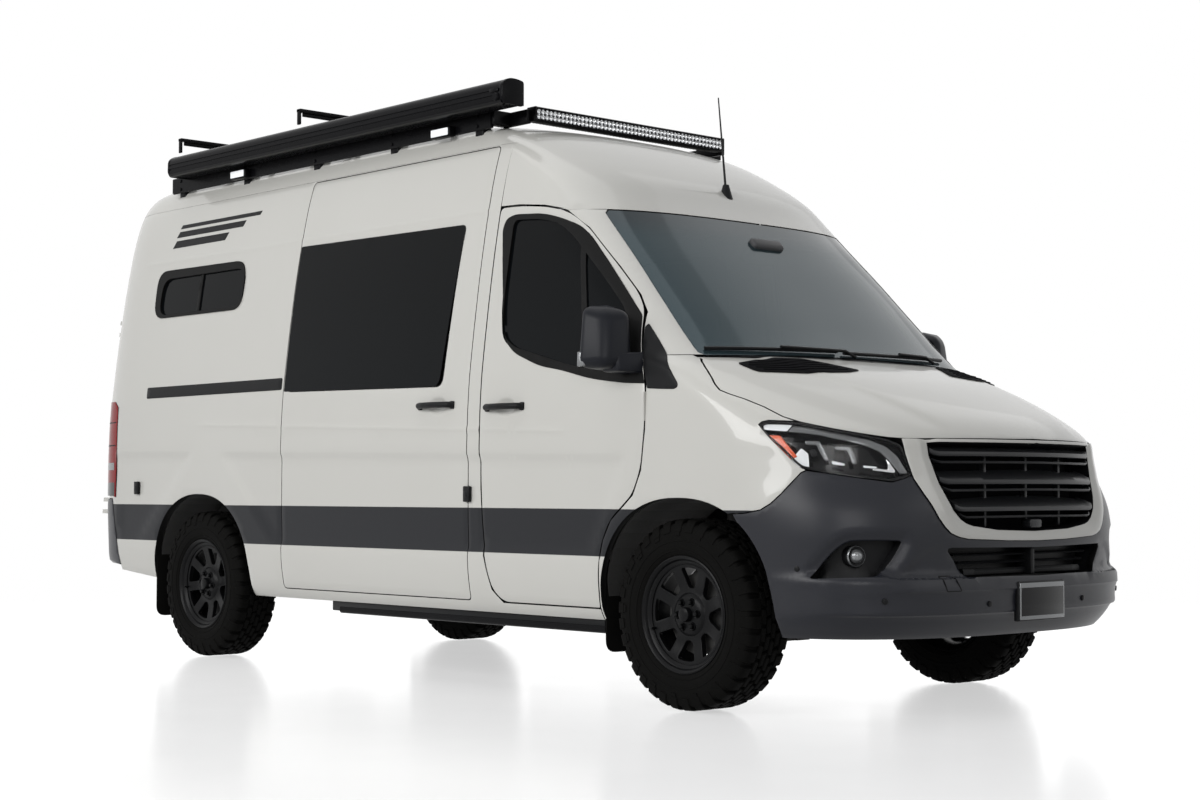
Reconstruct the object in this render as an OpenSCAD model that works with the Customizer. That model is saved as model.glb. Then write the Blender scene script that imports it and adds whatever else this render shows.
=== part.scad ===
// High-roof van with all-terrain tyres, roof rack, side awning and roof light bar.
// Lengths are in millimetres; X points forward, Y to the left, Z up, and the ground is z = 0.
// The modules place their pieces from the front axle, and placed() moves them to the middle of the length.

/* [Body] */
// distance between the axles
wheelbase = 3665; // [3500:5:3900]
// foremost face ahead of the front axle
front_overhang = 1055; // [1040:1:1090]
// rearmost face behind the rear axle
rear_overhang = 1212; // [1150:1:1300]
// widest place of the body, mirrors left out
body_w = 2020; // [1960:2:2100]
// thickness of doors, walls and roof
wall_t = 45; // [36:1:52]
// gap all round a door or lid that opens
door_gap = 8; // [6:0.5:10]
// joint between panels that stay put
seam = 0.6; // [0.4:0.1:0.9]
// top of the load floor
floor_z = 690; // [670:1:720]
// thickness of the load floor
floor_t = 50; // [30:1:60]
// thickness of the windows
glass_t = 7; // [5:0.5:9]

/* [Wheels] */
// diameter over the tread
tyre_d = 780; // [740:2:790]
// width of a tyre
tyre_w = 250; // [236:2:262]
// diameter of the rim at the lip
rim_d = 468; // [440:2:480]
// distance from the widest place of the body in to the middle of a wheel
wheel_inset = 150; // [142:1:158]
// spokes of a wheel
spokes = 8; // [5:1:10]
// radius of the stub that a wheel turns on
stub_r = 30; // [24:1:36]
// clearance of a turning shaft in its bore
run_clear = 0.05; // [0.02:0.01:0.09]
// distance from the steering pivot out to the middle of the wheel
pivot_in = 60; // [54:1:64]

/* [Roof gear] */
// length of the awning case
awning_l = 2965; // [2500:5:3100]
// height of the awning case
awning_h = 115; // [90:1:130]
// depth of the awning case
awning_d = 130; // [100:1:140]
// distance from the outside of a rail in to the end of the light bar
light_bar_in = 135; // [115:5:275]
// height of the side rails of the rack
rail_h = 90; // [70:1:100]
// cross bars of the rack
cross_bars = 8; // [6:1:9]

/* [Cab] */
// diameter of the steering wheel
steering_d = 380; // [340:2:400]
// width of a cab seat
seat_w = 470; // [420:2:500]

/* [Hidden] */
$fn = 48;
paint = "#cfcdc4";
plastic = "#3f414a";
black = "#1c1c1e";
steel = "#5a5c60";
glass = "#22282c";
length_all = wheelbase + front_overhang + rear_overhang;
front_axle_x = length_all / 2 - front_overhang;
rear_x = -wheelbase;
half_w = body_w / 2;
axle_z = tyre_d / 2;
wheel_y = half_w - wheel_inset;
pivot_y = wheel_y - pivot_in;
bumper_out = 22;
tail_x = rear_x - rear_overhang + bumper_out;
nose_x = front_overhang - 10;
sill_z = 345;
door_low = 395;
belt_seam_z = 1447;
side_top = 2500;
roof_low = 2131;
pillar_front = -1262;
slide_front = -1350;
firewall_x = -130;
slide_rear = rear_x + 797;
fit = 0.3;
// half width that the outlines of the front and the tail are drawn for
drawn_half_w = 1010;
front_fit = half_w / drawn_half_w;
// insides of the wheel liners and outsides of the mudflaps, in from the widest place
front_liner_in = half_w - 490;
rear_liner_in = half_w - 320;
flap_out = half_w - 85;
flap_w = 190;
// the two long members of the frame
frame_in = 380;
frame_out = 460;
strut_y = pivot_y - 128;
strut_r = 26;

// columns of the body table: height, side in from the widest place, nose line, start of the front
// curve, squareness of that curve, tail in from the rearmost place
z_ = 0;
side_ = 1;
nose_ = 2;
start_ = 3;
square_ = 4;
tail_ = 5;
// rows up to the bonnet edge measure the nose back from the foremost place of the body
low_rows = [
    [320, 74, 78, 300, 2.7, 60],
    [400, 32, 18, 300, 2.9, 15],
    [460, 20, 0, 300, 2.95, 5],
    [540, 10, 0, 300, 2.95, 0],
    [585, 8, 15, 300, 2.75, 0],
    [700, 3, 12, 300, 2.75, 0],
    [800, 0, 8, 300, 2.6, 0],
    [960, 0, 4, 300, 2.1, 0],
    [1060, 1, 8, 295, 2.0, 0],
    [1090, 1, 14, 288, 2.0, 0],
    [1120, 2, 40, 270, 2.0, 0],
    [1180, 4, 132, 220, 2.0, 0],
    [1260, 7, 302, 120, 2.05, 0],
    [1340, 12, 507, -20, 2.15, 0],
    [1410, 17, 737, -150, 2.4, 0]
];
// rows of the windscreen and the roof measure the nose from the front axle
high_rows = [
    [1456, 22, 150, -290, 2.7, 0],
    [1500, 27, 95, -340, 2.75, 0],
    [1700, 52, -115, -520, 2.8, 0],
    [1900, 80, -315, -700, 2.85, 0],
    [2100, 113, -515, -890, 2.85, 0],
    [2180, 128, -590, -960, 2.8, 0],
    [2290, 150, -690, -1060, 2.7, 0],
    [2360, 166, -785, -1140, 2.64, 2],
    [2420, 182, -880, -1225, 2.56, 6],
    [2480, 200, -985, -1320, 2.5, 13],
    [2530, 220, -1085, -1410, 2.43, 24],
    [2570, 244, -1185, -1500, 2.37, 38],
    [2605, 275, -1300, -1600, 2.3, 58],
    [2632, 320, -1430, -1700, 2.24, 84],
    [2652, 382, -1570, -1820, 2.17, 118],
    [2666, 470, -1750, -1960, 2.1, 165],
    [2674, 600, -1980, -2160, 2.0, 240]
];
body_rows = concat([for (r = low_rows) [r[z_], r[side_], nose_x - r[nose_], r[start_], r[square_], r[tail_]]],
    high_rows);
nose_steps = 12;
tail_steps = 5;
// the rear corner in plan: along the side and across the tail
tail_a = 380;
tail_b = 200;
// rows above this height sink with the thickness of the roof
roof_start = 2420;
roof_end = 2674;

// turning parts
steer_clear = 2;
kingpin_r = 14;
hub_reach = 58;

// hinges
front_hinge_x = -185;
front_hinge_y = half_w + 1;
rear_hinge_x = tail_x - 12;
rear_hinge_zs = [800, 1470, 1844];
hinge_r = 7;
hinge_wall = 3.8;
rear_edge_low = half_w - 142;
rear_edge_lean = 0.0933;
rear_low = 606;
bumper_top = rear_low - door_gap - 6;
rear_top = 2490;
hood_hinge_x = -8;
hood_hinge_z = 1485;
hood_lip = 6;

// the silencer hangs from the fifth cross member
hanger_x = tail_x + 200 + 4 * (-1150 - tail_x - 200) / 6;

// roof gear
rail_out = half_w - 235;
light_bar_l = 2 * (rail_out - light_bar_in);
rail_w = 20;
rail_z = 2600;
rack_front = -1330;
rail_front = rack_front - 140;
rack_rear = tail_x + 500;
awning_front = -1225;
load_bar_out = rail_out - 20;
load_bar_z = 2925;
side_bar_out = half_w - 68;

module placed() {
    translate([front_axle_x, 0, 0])
        children();
}

// a panel cut from the curved skin keeps its facets
module panel_mesh() {
    resize([0, 0, 0])
        children();
}

// an outline drawn in (x, z), carried across from y0 to y1
module along_y(y0, y1) {
    translate([0, y1, 0])
        rotate([90, 0, 0])
            linear_extrude(y1 - y0)
                children();
}

// an outline drawn in (y, z), carried along from x0 to x1
module along_x(x0, x1) {
    translate([x0, 0, 0])
        rotate([90, 0, 90])
            linear_extrude(x1 - x0)
                children();
}

module on_side(s) {
    if (s < 0)
        along_y(-1500, -300)
            children();
    else
        along_y(300, 1500)
            children();
}

module both_sides() {
    along_y(-1500, 1500)
        children();
}

module mirrored() {
    children();
    mirror([0, 1, 0])
        children();
}

module box(x0, x1, y0, y1, z0, z1) {
    translate([x0, y0, z0])
        cube([x1 - x0, y1 - y0, z1 - z0]);
}

module rect_2d(x0, x1, z0, z1) {
    translate([x0, z0])
        square([x1 - x0, z1 - z0]);
}

module round_rect_2d(x0, x1, z0, z1, r) {
    translate([x0 + r, z0 + r])
        offset(r = r, $fn = 20)
            square([x1 - x0 - 2 * r, z1 - z0 - 2 * r]);
}

// outline of the body in plan at one row, drawn in by t
function half_ring(r, t) = let (w = half_w - r[side_] - t, n = r[nose_] - t, c = r[start_], e = 2 / r[square_],
    q = tail_x + r[tail_] + t) concat(
    [for (i = [0 : nose_steps]) let (a = 90 * i / nose_steps) [c + (n - c) * pow(cos(a), e), w * pow(sin(a), e)]],
    [for (i = [0 : tail_steps]) let (a = 90 * i / tail_steps)
        [q + tail_a * (1 - sin(a)), w - tail_b * (1 - cos(a))]]);

function ring(r, t) = let (h = half_ring(r, t)) concat(h, [for (i = [len(h) - 1 : -1 : 1]) [h[i][0], -h[i][1]]]);

function roof_share(z) = min(1, max(0, (z - roof_start) / (roof_end - roof_start)));

function row_z(i, t) = body_rows[i][z_] - t * roof_share(body_rows[i][z_]) - (i == 0 && t > 0 ? 60 : 0);

// the whole outside of the van as one solid, its skin drawn in by t
module body_loft(t = 0) {
    rings = [for (r = body_rows) ring(r, t)];
    n = len(rings[0]);
    m = len(rings);
    points = [for (i = [0 : m - 1], j = [0 : n - 1]) [rings[i][j][0], rings[i][j][1], row_z(i, t)]];
    sides = [for (i = [0 : m - 2], j = [0 : n - 1], k = [0, 1]) let (a = i * n + j, b = i * n + (j + 1) % n)
        k == 0 ? [a, a + n, b + n] : [a, b + n, b]];
    bottom = [for (j = [0 : n - 1]) j];
    top = [for (j = [n - 1 : -1 : 0]) (m - 1) * n + j];
    polyhedron(points = points, faces = concat(sides, [bottom, top]));
}

module shell(t0, t1) {
    difference() {
        body_loft(t0);
        body_loft(t1);
    }
}

// outlines seen from the side, drawn in (x, z)
module front_door_2d() {
    polygon([[pillar_front, 2188], [-1129, 2185], [-951, 2164], [-830, 2137], [-764, 2108], [-670, 2046],
        [-463, 1858], [-330, 1728], [-272, 1650], [-185, 1330], [-185, 1142], [-206, 978], [-256, 875],
        [-318, 826], [-390, 770], [-442, 685], [-470, 592], [-484, door_low], [-1120, door_low], [-1190, 450],
        [-1235, 600], [-1258, 900], [pillar_front, 1300]]);
}

module door_window_2d() {
    polygon([[-1165, 2125], [-1140, 2140], [-960, 2118], [-840, 2090], [-770, 2052], [-700, 2000], [-492, 1812],
        [-372, 1694], [-330, 1640], [-262, 1380], [-290, 1362], [-640, 1412], [-1060, 1520], [-1120, 1560],
        [-1152, 1620], [-1168, 1720]]);
}

module sliding_door_2d() {
    round_rect_2d(slide_rear, slide_front, door_low, side_top - 6, 25);
}

module big_window_2d() {
    offset(r = 45, $fn = 20)
        offset(delta = -45)
            polygon([[slide_rear + 22, 1394], [-1545, 1372], [-1500, 2134], [slide_rear + 22, 2144]]);
}

module bunk_window_2d() {
    round_rect_2d(rear_x - 565, rear_x + 305, 1866, 2098, 95);
}

module hood_2d() {
    polygon([[-14, belt_seam_z], [31, 1437], [75, 1410], [116, 1380], [152, 1350], [182, 1322], [214, 1298],
        [260, 1281], [330, 1259], [418, 1225], [503, 1184], [569, 1163], [671, 1138], [761, 1117], [830, 1102],
        [870, 1096], [930, 1099], [1000, 1101], [1300, 1101], [1300, belt_seam_z]]);
}

module headlamp_2d() {
    polygon([[424, 1150], [434, 1161], [455, 1167], [569, 1159], [671, 1134], [761, 1113], [830, 1094],
        [862, 1074], [881, 1026], [904, 953], [886, 939], [865, 926], [840, 931], [758, 947], [668, 964],
        [606, 980], [579, 1002], [524, 1058]]);
}

module bumper_2d() {
    polygon([[280, 200], [280, 801], [383, 804], [457, 817], [505, 842], [545, 880], [575, 918], [607, 961],
        [623, 970], [1300, 970], [1300, 200]]);
}

// opening of a wheel arch: a circle that is a little square
module arch_2d(x, rear_a, front_a, b) {
    translate([x + 8, axle_z + 10])
        polygon([for (i = [0 : 35]) let (t = 10 * i, c = cos(t), s = sin(t))
            [(c < 0 ? rear_a : front_a) * sign(c) * pow(abs(c), 0.89), b * sign(s) * pow(abs(s), 0.89)]]);
}

module front_arch_2d() {
    arch_2d(0, 480, 498, 464);
    rect_2d(-472, 506, 100, axle_z + 10);
}

module rear_arch_2d() {
    arch_2d(rear_x, 484, 484, 474);
    rect_2d(rear_x - 476, rear_x + 492, 100, axle_z + 10);
}

// outlines seen from the front, drawn in (y, z)
module surround_2d() {
    front_drawn()
        polygon([[0, 1092], [640, 1092], [634, 1030], [621, 940], [600, 880], [556, 788], [530, 752], [503, 728],
            [465, 714], [420, 706], [192, 697], [0, 694]]);
}

module grille_2d() {
    front_drawn()
        polygon([[0, 1080], [545, 1080], [543, 1030], [519, 922], [500, 868], [477, 818], [446, 783], [415, 765],
            [380, 755], [238, 738], [0, 731]]);
}

module intake_2d() {
    front_drawn()
        polygon([[0, 667], [237, 670], [518, 672], [505, 655], [435, 567], [420, 556], [0, 552]]);
}

module fog_recess_2d() {
    front_drawn()
        polygon([[955, 556], [938, 583], [921, 629], [899, 671], [871, 700], [797, 702], [703, 699], [731, 639],
            [768, 587], [800, 566], [895, 561]]);
}

module windshield_2d() {
    front_drawn()
        polygon([[0, 1468], [400, 1464], [640, 1457], [850, 1453], [862, 1462], [788, 2112], [768, 2127], [0, 2127]]);
}

// both halves of an outline of the front, as wide as the body
module front_drawn() {
    for (s = [-1, 1])
        scale([s * front_fit, 1])
            children();
}

module rear_door_2d(s) {
    y0 = door_gap / 2;
    y1 = rear_edge_low;
    y2 = rear_edge_low - rear_edge_lean * (rear_top - rear_low);
    scale([s, 1])
        polygon([[y0, rear_low], [y1, rear_low], [y2 + rear_edge_lean * 70, rear_top - 70], [y2 - 30, rear_top],
            [y0, rear_top]]);
}

module rear_window_2d(s) {
    scale([s, 1])
        round_rect_2d(120, rear_edge_low - 248, 1430, 2060, 60);
}

module rear_opening() {
    along_x(tail_x - 100, tail_x + 300)
        offset(delta = door_gap / 2)
            union() {
                rear_door_2d(1);
                rear_door_2d(-1);
                rect_2d(-door_gap, door_gap, rear_low, rear_top);
            }
}

module tail_lamp_2d() {
    polygon([[tail_x - 60, 858], [tail_x + 175, 852], [tail_x + 205, 1000], [tail_x + 165, 1330],
        [tail_x + 120, 1404], [tail_x - 60, 1410]]);
}

module bumper_corner_2d() {
    polygon([[tail_x - 60, 468], [tail_x + 340, 468], [tail_x + 300, 620], [tail_x + 250, 846], [tail_x - 60, 846]]);
}

// floor, frame and running gear
module floor_pan() {
    color(steel)
        placed()
            panel_mesh()
                difference() {
                    intersection() {
                        union() {
                            box(tail_x, -500, -1100, 1100, floor_z - floor_t, floor_z);
                            box(-510, firewall_x - fit, 15 - front_liner_in, front_liner_in - 15, floor_z - floor_t, floor_z);
                            box(-510, -300, -1100, 1100, 900, 925);
                            box(-510, -490, -1100, 1100, floor_z - floor_t, 925);
                            mirrored()
                                box(rear_x - 510, rear_x + 520, rear_liner_in - 20, 1100, floor_z - floor_t, 915);
                        }
                        body_loft(wall_t + fit);
                    }
                    mirrored()
                        box(rear_x - 498, rear_x + 508, rear_liner_in - 6, 1100, 0, 901);
                    box(-480, 600, front_liner_in - 14, 1100, 0, 899);
                    box(-480, 600, -1100, 14 - front_liner_in, 0, 899);
                    box(-480, -200, 15 - front_liner_in, front_liner_in - 15, floor_z + 1, 1100);
                    rear_opening();
                }
}

module chassis_frame() {
    color(black)
        placed()
            union() {
                mirrored()
                    box(tail_x + 160, 780, frame_in, frame_out, 520, floor_z - floor_t - fit);
                for (i = [0 : 6])
                    frame_member(tail_x + 200 + i * (-1150 - tail_x - 200) / 6);
                box(690, 780, -frame_in - 20, frame_in + 20, 520, floor_z - floor_t - fit);
            }
}

module frame_member(x) {
    box(x, x + 90, -frame_in - 20, frame_in + 20, 545, floor_z - floor_t - fit);
}

module engine_block() {
    color(steel)
        placed()
            union() {
                box(-45 - fit - 700, 90, -180, 180, 430, 630);
                box(60, 600, -300, 300, 430, 1010);
            }
}

module radiator() {
    color(black)
        placed()
            panel_mesh()
                intersection() {
                    union() {
                        box(700, 780, -430, 430, floor_z - floor_t, 1040);
                        mirrored()
                            box(705, 775, 330, 420, 1000, 1300);
                    }
                    body_loft(wall_t + fit);
                }
}

// the arms and struts that carry the steering pivots
module front_suspension() {
    color(steel)
        placed()
            difference() {
                union() {
                    box(-60, 160, -330, 330, 370, 430 - fit);
                    mirrored() {
                        box(-45, 45, 250, 330, axle_z - 134, 430 - fit);
                        box(-35, 35, 320, pivot_y, axle_z - 134, axle_z - 107 - steer_clear);
                        translate([0, pivot_y, axle_z - 134])
                            cylinder(r = 30, h = 27 - steer_clear);
                        translate([0, pivot_y, axle_z + 107 + steer_clear])
                            cylinder(r = 30, h = 27);
                        box(-22, 22, strut_y, pivot_y, axle_z + 107 + steer_clear, axle_z + 134 + steer_clear);
                        translate([0, strut_y, axle_z + 107 + steer_clear])
                            cylinder(r = strut_r, h = 440);
                        box(-60, 60, frame_out - 5, pivot_y - 100, axle_z + 530, axle_z + 560);
                        box(-60, 60, frame_out - 20, frame_out + 10, floor_z - floor_t, axle_z + 560);
                        box(-60, 60, frame_in - 10, frame_out + 10, floor_z - floor_t, floor_z - floor_t + 24);
                    }
                }
                mirrored()
                    translate([0, pivot_y, axle_z - 200])
                        cylinder(r = kingpin_r + run_clear, h = 400);
            }
}

module rear_axle() {
    color(steel)
        placed()
            union() {
                translate([rear_x, 0, axle_z])
                    rotate([90, 0, 0]) {
                        translate([0, 0, -wheel_y + 90])
                            cylinder(r = 45, h = 2 * (wheel_y - 90));
                        translate([0, 0, -wheel_y - hub_reach])
                            cylinder(r = stub_r, h = 2 * (wheel_y + hub_reach));
                        for (s = [-1, 1])
                            translate([0, 0, s * (wheel_y - 30) - 6])
                                cylinder(r = 150, h = 12);
                    }
                translate([rear_x - 130, 0, axle_z])
                    rotate([0, 90, 0])
                        cylinder(r = 120, h = 260);
                mirrored() {
                    box(rear_x - 640, rear_x + 660, frame_in + 5, frame_out - 5, axle_z + 40, axle_z + 68);
                    box(rear_x - 640, rear_x - 590, frame_in + 5, frame_out - 5, axle_z + 60, 520 - fit);
                    box(rear_x + 610, rear_x + 660, frame_in + 5, frame_out - 5, axle_z + 60, 520 - fit);
                }
            }
}

// propeller shaft, silencer with its pipe, and fuel tank
module drivetrain() {
    color(steel)
        placed()
            union() {
                translate([rear_x + 130 + fit, 0, 470])
                    rotate([0, 90, 0])
                        cylinder(r = 35, h = wheelbase - 130 - 745 - 3 * fit);
                difference() {
                    union() {
                        translate([-2750, -250, 450])
                            rotate([0, 90, 0])
                                cylinder(r = 85, h = 750);
                        translate([rear_x + 700, -250, 450])
                            rotate([0, 90, 0])
                                cylinder(r = 32, h = wheelbase - 1500);
                        box(hanger_x + 20, hanger_x + 70, -270, -230, 500, 545 - fit);
                    }
                    translate([rear_x + 600, -250, 450])
                        rotate([0, 90, 0])
                            cylinder(r = 27, h = 300);
                }
                box(-2600, -1400, frame_out + 20, half_w - 170, 410, floor_z - floor_t - fit);
            }
}

module wheel_liners() {
    color(black)
        placed()
            panel_mesh()
                difference() {
                    intersection() {
                        union() {
                            mirrored()
                                along_y(front_liner_in, 1100)
                                    difference() {
                                        offset(delta = 9)
                                            front_arch_2d();
                                        offset(delta = 1)
                                            front_arch_2d();
                                        rect_2d(-700, 700, 0, 330);
                                        rect_2d(0, 700, 0, 560);
                                    }
                            mirrored()
                                along_y(rear_liner_in, 1100)
                                    difference() {
                                        offset(delta = 9)
                                            rear_arch_2d();
                                        offset(delta = 1)
                                            rear_arch_2d();
                                        rect_2d(rear_x - 700, rear_x + 700, 0, 425);
                                    }
                        }
                        body_loft(wall_t + fit);
                    }
                    mirrored()
                        translate([0, strut_y, axle_z + 200])
                            cylinder(r = strut_r + 6, h = 600, $fn = 24);
                }
}

module knuckle(s) {
    translate([0, s * pivot_y, axle_z])
        union() {
            box(-30, 30, -25, 25, -107, 107);
            translate([0, 0, -134])
                cylinder(r = kingpin_r, h = 268);
            rotate([-90 * s, 0, 0]) {
                cylinder(r = stub_r, h = pivot_in + hub_reach);
                translate([0, 0, 34])
                    cylinder(r = 150, h = 10);
            }
            box(-135, -20, -14, 14, -52, -30);
        }
}

module knuckle_right() {
    color(steel)
        placed()
            knuckle(-1);
}

module knuckle_left() {
    color(steel)
        placed()
            knuckle(1);
}

// a wheel about its own axle, its outside towards +Z
module wheel() {
    lip = rim_d / 2;
    seat = lip - 18;
    half = 118;
    difference() {
        union() {
            rotate_extrude()
                polygon([[lip, -half], [lip, 10 - half], [seat, 18 - half], [seat, -60], [seat - 16, -40],
                    [seat - 16, 40], [seat, 60], [seat, half - 18], [lip, half - 10], [lip, half],
                    [lip - 12, half], [seat - 10, half - 18], [seat - 28, 40], [seat - 28, -40], [seat - 12, -60],
                    [seat - 12, 14 - half], [lip - 12, -half]]);
            rotate_extrude()
                polygon([[0, 20], [stub_r + 48, 20], [stub_r + 56, 44], [seat - 20, 60], [seat - 12, 88],
                    [stub_r + 62, 72], [stub_r + 50, 60], [stub_r + 12, 62], [stub_r + 10, 84], [0, 84]]);
        }
        translate([0, 0, 10])
            cylinder(r = stub_r + run_clear, h = hub_reach - 8);
        for (i = [0 : spokes - 1])
            rotate([0, 0, (i + 0.5) * 360 / spokes])
                linear_extrude(200)
                    polygon([[stub_r + 74, -16], [seat - 48, -46], [seat - 36, -38], [seat - 36, 38], [seat - 48, 46],
                        [stub_r + 74, 16]]);
    }
}

// the tyre about its own axle, out to the tips of its tread
module tyre() {
    r = tyre_d / 2;
    h = tyre_w / 2;
    lip = rim_d / 2;
    seat = lip - 18 + fit;
    rotate_extrude()
        polygon([[seat, -92], [lip + 1, -104], [lip + 6, -107], [lip + 28, 4 - h], [(lip + r) / 2, -h],
            [r - 40, 3 - h], [r - 14, 14 - h], [r, 34 - h], [r, h - 34], [r - 14, h - 14], [r - 40, h - 3],
            [(lip + r) / 2, h], [lip + 28, h - 4], [lip + 6, 107], [lip + 1, 104], [seat, 92], [seat, 74],
            [lip + 26, 92], [(lip + r) / 2, h - 14], [r - 34, h - 24], [r - 20, h - 50], [r - 20, 50 - h],
            [r - 34, 24 - h], [(lip + r) / 2, 14 - h], [lip + 26, -92], [seat, -74]]);
}

module at_wheel(x, s) {
    placed()
        translate([x, s * wheel_y, axle_z])
            rotate([-90 * s, 0, 0])
                children();
}

module wheel_front_right() {
    color(black)
        at_wheel(0, -1)
            wheel();
}

module wheel_front_left() {
    color(black)
        at_wheel(0, 1)
            wheel();
}

module wheel_rear_right() {
    color(black)
        at_wheel(rear_x, -1)
            wheel();
}

module wheel_rear_left() {
    color(black)
        at_wheel(rear_x, 1)
            wheel();
}

module tyre_front_right() {
    color("#242424")
        at_wheel(0, -1)
            tyre();
}

module tyre_front_left() {
    color("#242424")
        at_wheel(0, 1)
            tyre();
}

module tyre_rear_right() {
    color("#242424")
        at_wheel(rear_x, -1)
            tyre();
}

module tyre_rear_left() {
    color("#242424")
        at_wheel(rear_x, 1)
            tyre();
}

// body panels
module side_outline_2d() {
    difference() {
        union() {
            rect_2d(tail_x - 100, pillar_front, sill_z, side_top);
            rect_2d(-1400, -486, sill_z, door_low);
        }
        offset(delta = door_gap / 2)
            front_door_2d();
        rear_arch_2d();
        offset(delta = seam)
            bumper_corner_2d();
        offset(delta = seam)
            tail_lamp_2d();
        polygon([[rear_x - 460, 100], [tail_x - 100, 100], [tail_x - 100, 480], [rear_x - 460, 408]]);
    }
}

module body_side_right() {
    color(paint)
        placed()
            panel_mesh()
                difference() {
                    intersection() {
                        shell(0, wall_t);
                        on_side(-1)
                            difference() {
                                side_outline_2d();
                                offset(delta = seam / 2)
                                    sliding_door_2d();
                                bunk_window_2d();
                            }
                    }
                    rear_opening();
                }
}

module body_side_left() {
    color(paint)
        placed()
            panel_mesh()
                difference() {
                    intersection() {
                        shell(0, wall_t);
                        on_side(1)
                            difference() {
                                side_outline_2d();
                                big_window_2d();
                                bunk_window_2d();
                            }
                    }
                    rear_opening();
                }
}

module sliding_door() {
    color(paint)
        placed()
            panel_mesh()
                difference() {
                    union() {
                        intersection() {
                            shell(0, wall_t / 2);
                            on_side(-1)
                                offset(delta = -5)
                                    sliding_door_2d();
                        }
                        intersection() {
                            shell(wall_t / 2 - 2, wall_t);
                            on_side(-1)
                                offset(delta = -seam / 2)
                                    sliding_door_2d();
                        }
                    }
                    on_side(-1)
                        big_window_2d();
                }
}

module slide_rail() {
    color(black)
        placed()
            panel_mesh()
                intersection() {
                    shell(-9, -fit);
                    on_side(-1)
                        rect_2d(rear_x - 577, slide_rear - 12, 1404, 1474);
                }
}

module side_windows() {
    color(glass)
        placed()
            panel_mesh()
                intersection() {
                    shell(2, 2 + glass_t);
                    union() {
                        both_sides()
                            offset(delta = -fit)
                                big_window_2d();
                        both_sides()
                            offset(delta = -fit)
                                bunk_window_2d();
                    }
                }
}

module roof_panel() {
    color(paint)
        placed()
            panel_mesh()
                intersection() {
                    shell(0, wall_t);
                    both_sides()
                        polygon([[tail_x - 100, side_top + seam], [pillar_front, side_top + seam],
                            [pillar_front, 2194], [-1129, 2191], [-951, 2170], [-840, roof_low + 14],
                            [-800, roof_low], [0, roof_low], [0, 3000], [tail_x - 100, 3000]]);
                }
}

module cab_frame() {
    color(paint)
        placed()
            panel_mesh()
                union() {
                    difference() {
                        intersection() {
                            shell(0, wall_t);
                            both_sides()
                                difference() {
                                    rect_2d(-900, 300, belt_seam_z + door_gap / 2, roof_low - seam);
                                    offset(delta = door_gap / 2)
                                        front_door_2d();
                                    rect_2d(-1000, -480, 0, 2030);
                                }
                        }
                        along_x(-900, 400)
                            windshield_2d();
                    }
                    intersection() {
                        union() {
                            box(firewall_x, firewall_x + 30, -1100, 1100, 890, 1470);
                            box(firewall_x, firewall_x + 30, -500, 500, floor_z - floor_t, 900);
                            box(firewall_x, 190, -1100, 1100, 1400, 1430);
                        }
                        union() {
                            body_loft(wall_t + fit);
                            intersection() {
                                body_loft(wall_t - 5);
                                box(-900, 400, -1100, 1100, belt_seam_z + door_gap / 2, 1600);
                            }
                        }
                        both_sides()
                            difference() {
                                rect_2d(firewall_x, 400, 0, 1475);
                                offset(delta = door_gap)
                                    hood_2d();
                            }
                    }
                }
}

module fenders() {
    color(paint)
        placed()
            panel_mesh()
                intersection() {
                    shell(0, wall_t);
                    union() {
                        on_side(-1)
                            fender_2d();
                        on_side(1)
                            fender_2d();
                    }
                }
}

module fender_2d() {
    difference() {
        rect_2d(-500, 700, sill_z, belt_seam_z + door_gap / 2 - seam);
        offset(delta = door_gap / 2)
            front_door_2d();
        offset(delta = door_gap / 2)
            hood_2d();
        offset(delta = seam)
            headlamp_2d();
        offset(delta = seam)
            bumper_2d();
        front_arch_2d();
        rect_2d(-500, -486, 0, door_low + 20);
    }
}

// the rear lip is one skin, so that it clears the screen as the hood lifts
module hood() {
    color(paint)
        placed()
            panel_mesh()
                intersection() {
                    union() {
                        shell(0, hood_lip);
                        intersection() {
                            shell(0, wall_t);
                            box(hood_hinge_x, 1300, -1200, 1200, 0, belt_seam_z - 30);
                        }
                    }
                    both_sides()
                        offset(delta = -door_gap / 2)
                            hood_2d();
                    box(hood_hinge_x, 1300, -1200, 1200, 0, 3000);
                }
}

module headlamps() {
    color("#8a9096")
        placed()
            panel_mesh()
                difference() {
                    intersection() {
                        shell(0, wall_t);
                        both_sides()
                            headlamp_2d();
                    }
                    both_sides()
                        offset(delta = door_gap / 2)
                            hood_2d();
                }
}

module front_bumper() {
    color(plastic)
        placed()
            panel_mesh()
                union() {
                    difference() {
                        intersection() {
                            shell(0, wall_t);
                            both_sides()
                                difference() {
                                    bumper_2d();
                                    front_arch_2d();
                                    offset(delta = seam)
                                        headlamp_2d();
                                }
                        }
                        along_x(800, 1300)
                            offset(delta = seam)
                                surround_2d();
                        along_x(800, 1300)
                            intake_2d();
                        difference() {
                            along_x(500, 1300)
                                fog_recess_2d();
                            body_loft(26);
                        }
                    }
                    box(nose_x - 20, front_overhang, -158, 158, 376, 534);
                }
}

module grille_surround() {
    color(paint)
        placed()
            panel_mesh()
                difference() {
                    intersection() {
                        shell(0, wall_t);
                        along_x(800, 1300)
                            difference() {
                                surround_2d();
                                grille_2d();
                            }
                    }
                    both_sides()
                        offset(delta = seam)
                            headlamp_2d();
                    both_sides()
                        offset(delta = door_gap / 2)
                            hood_2d();
                }
}

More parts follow.
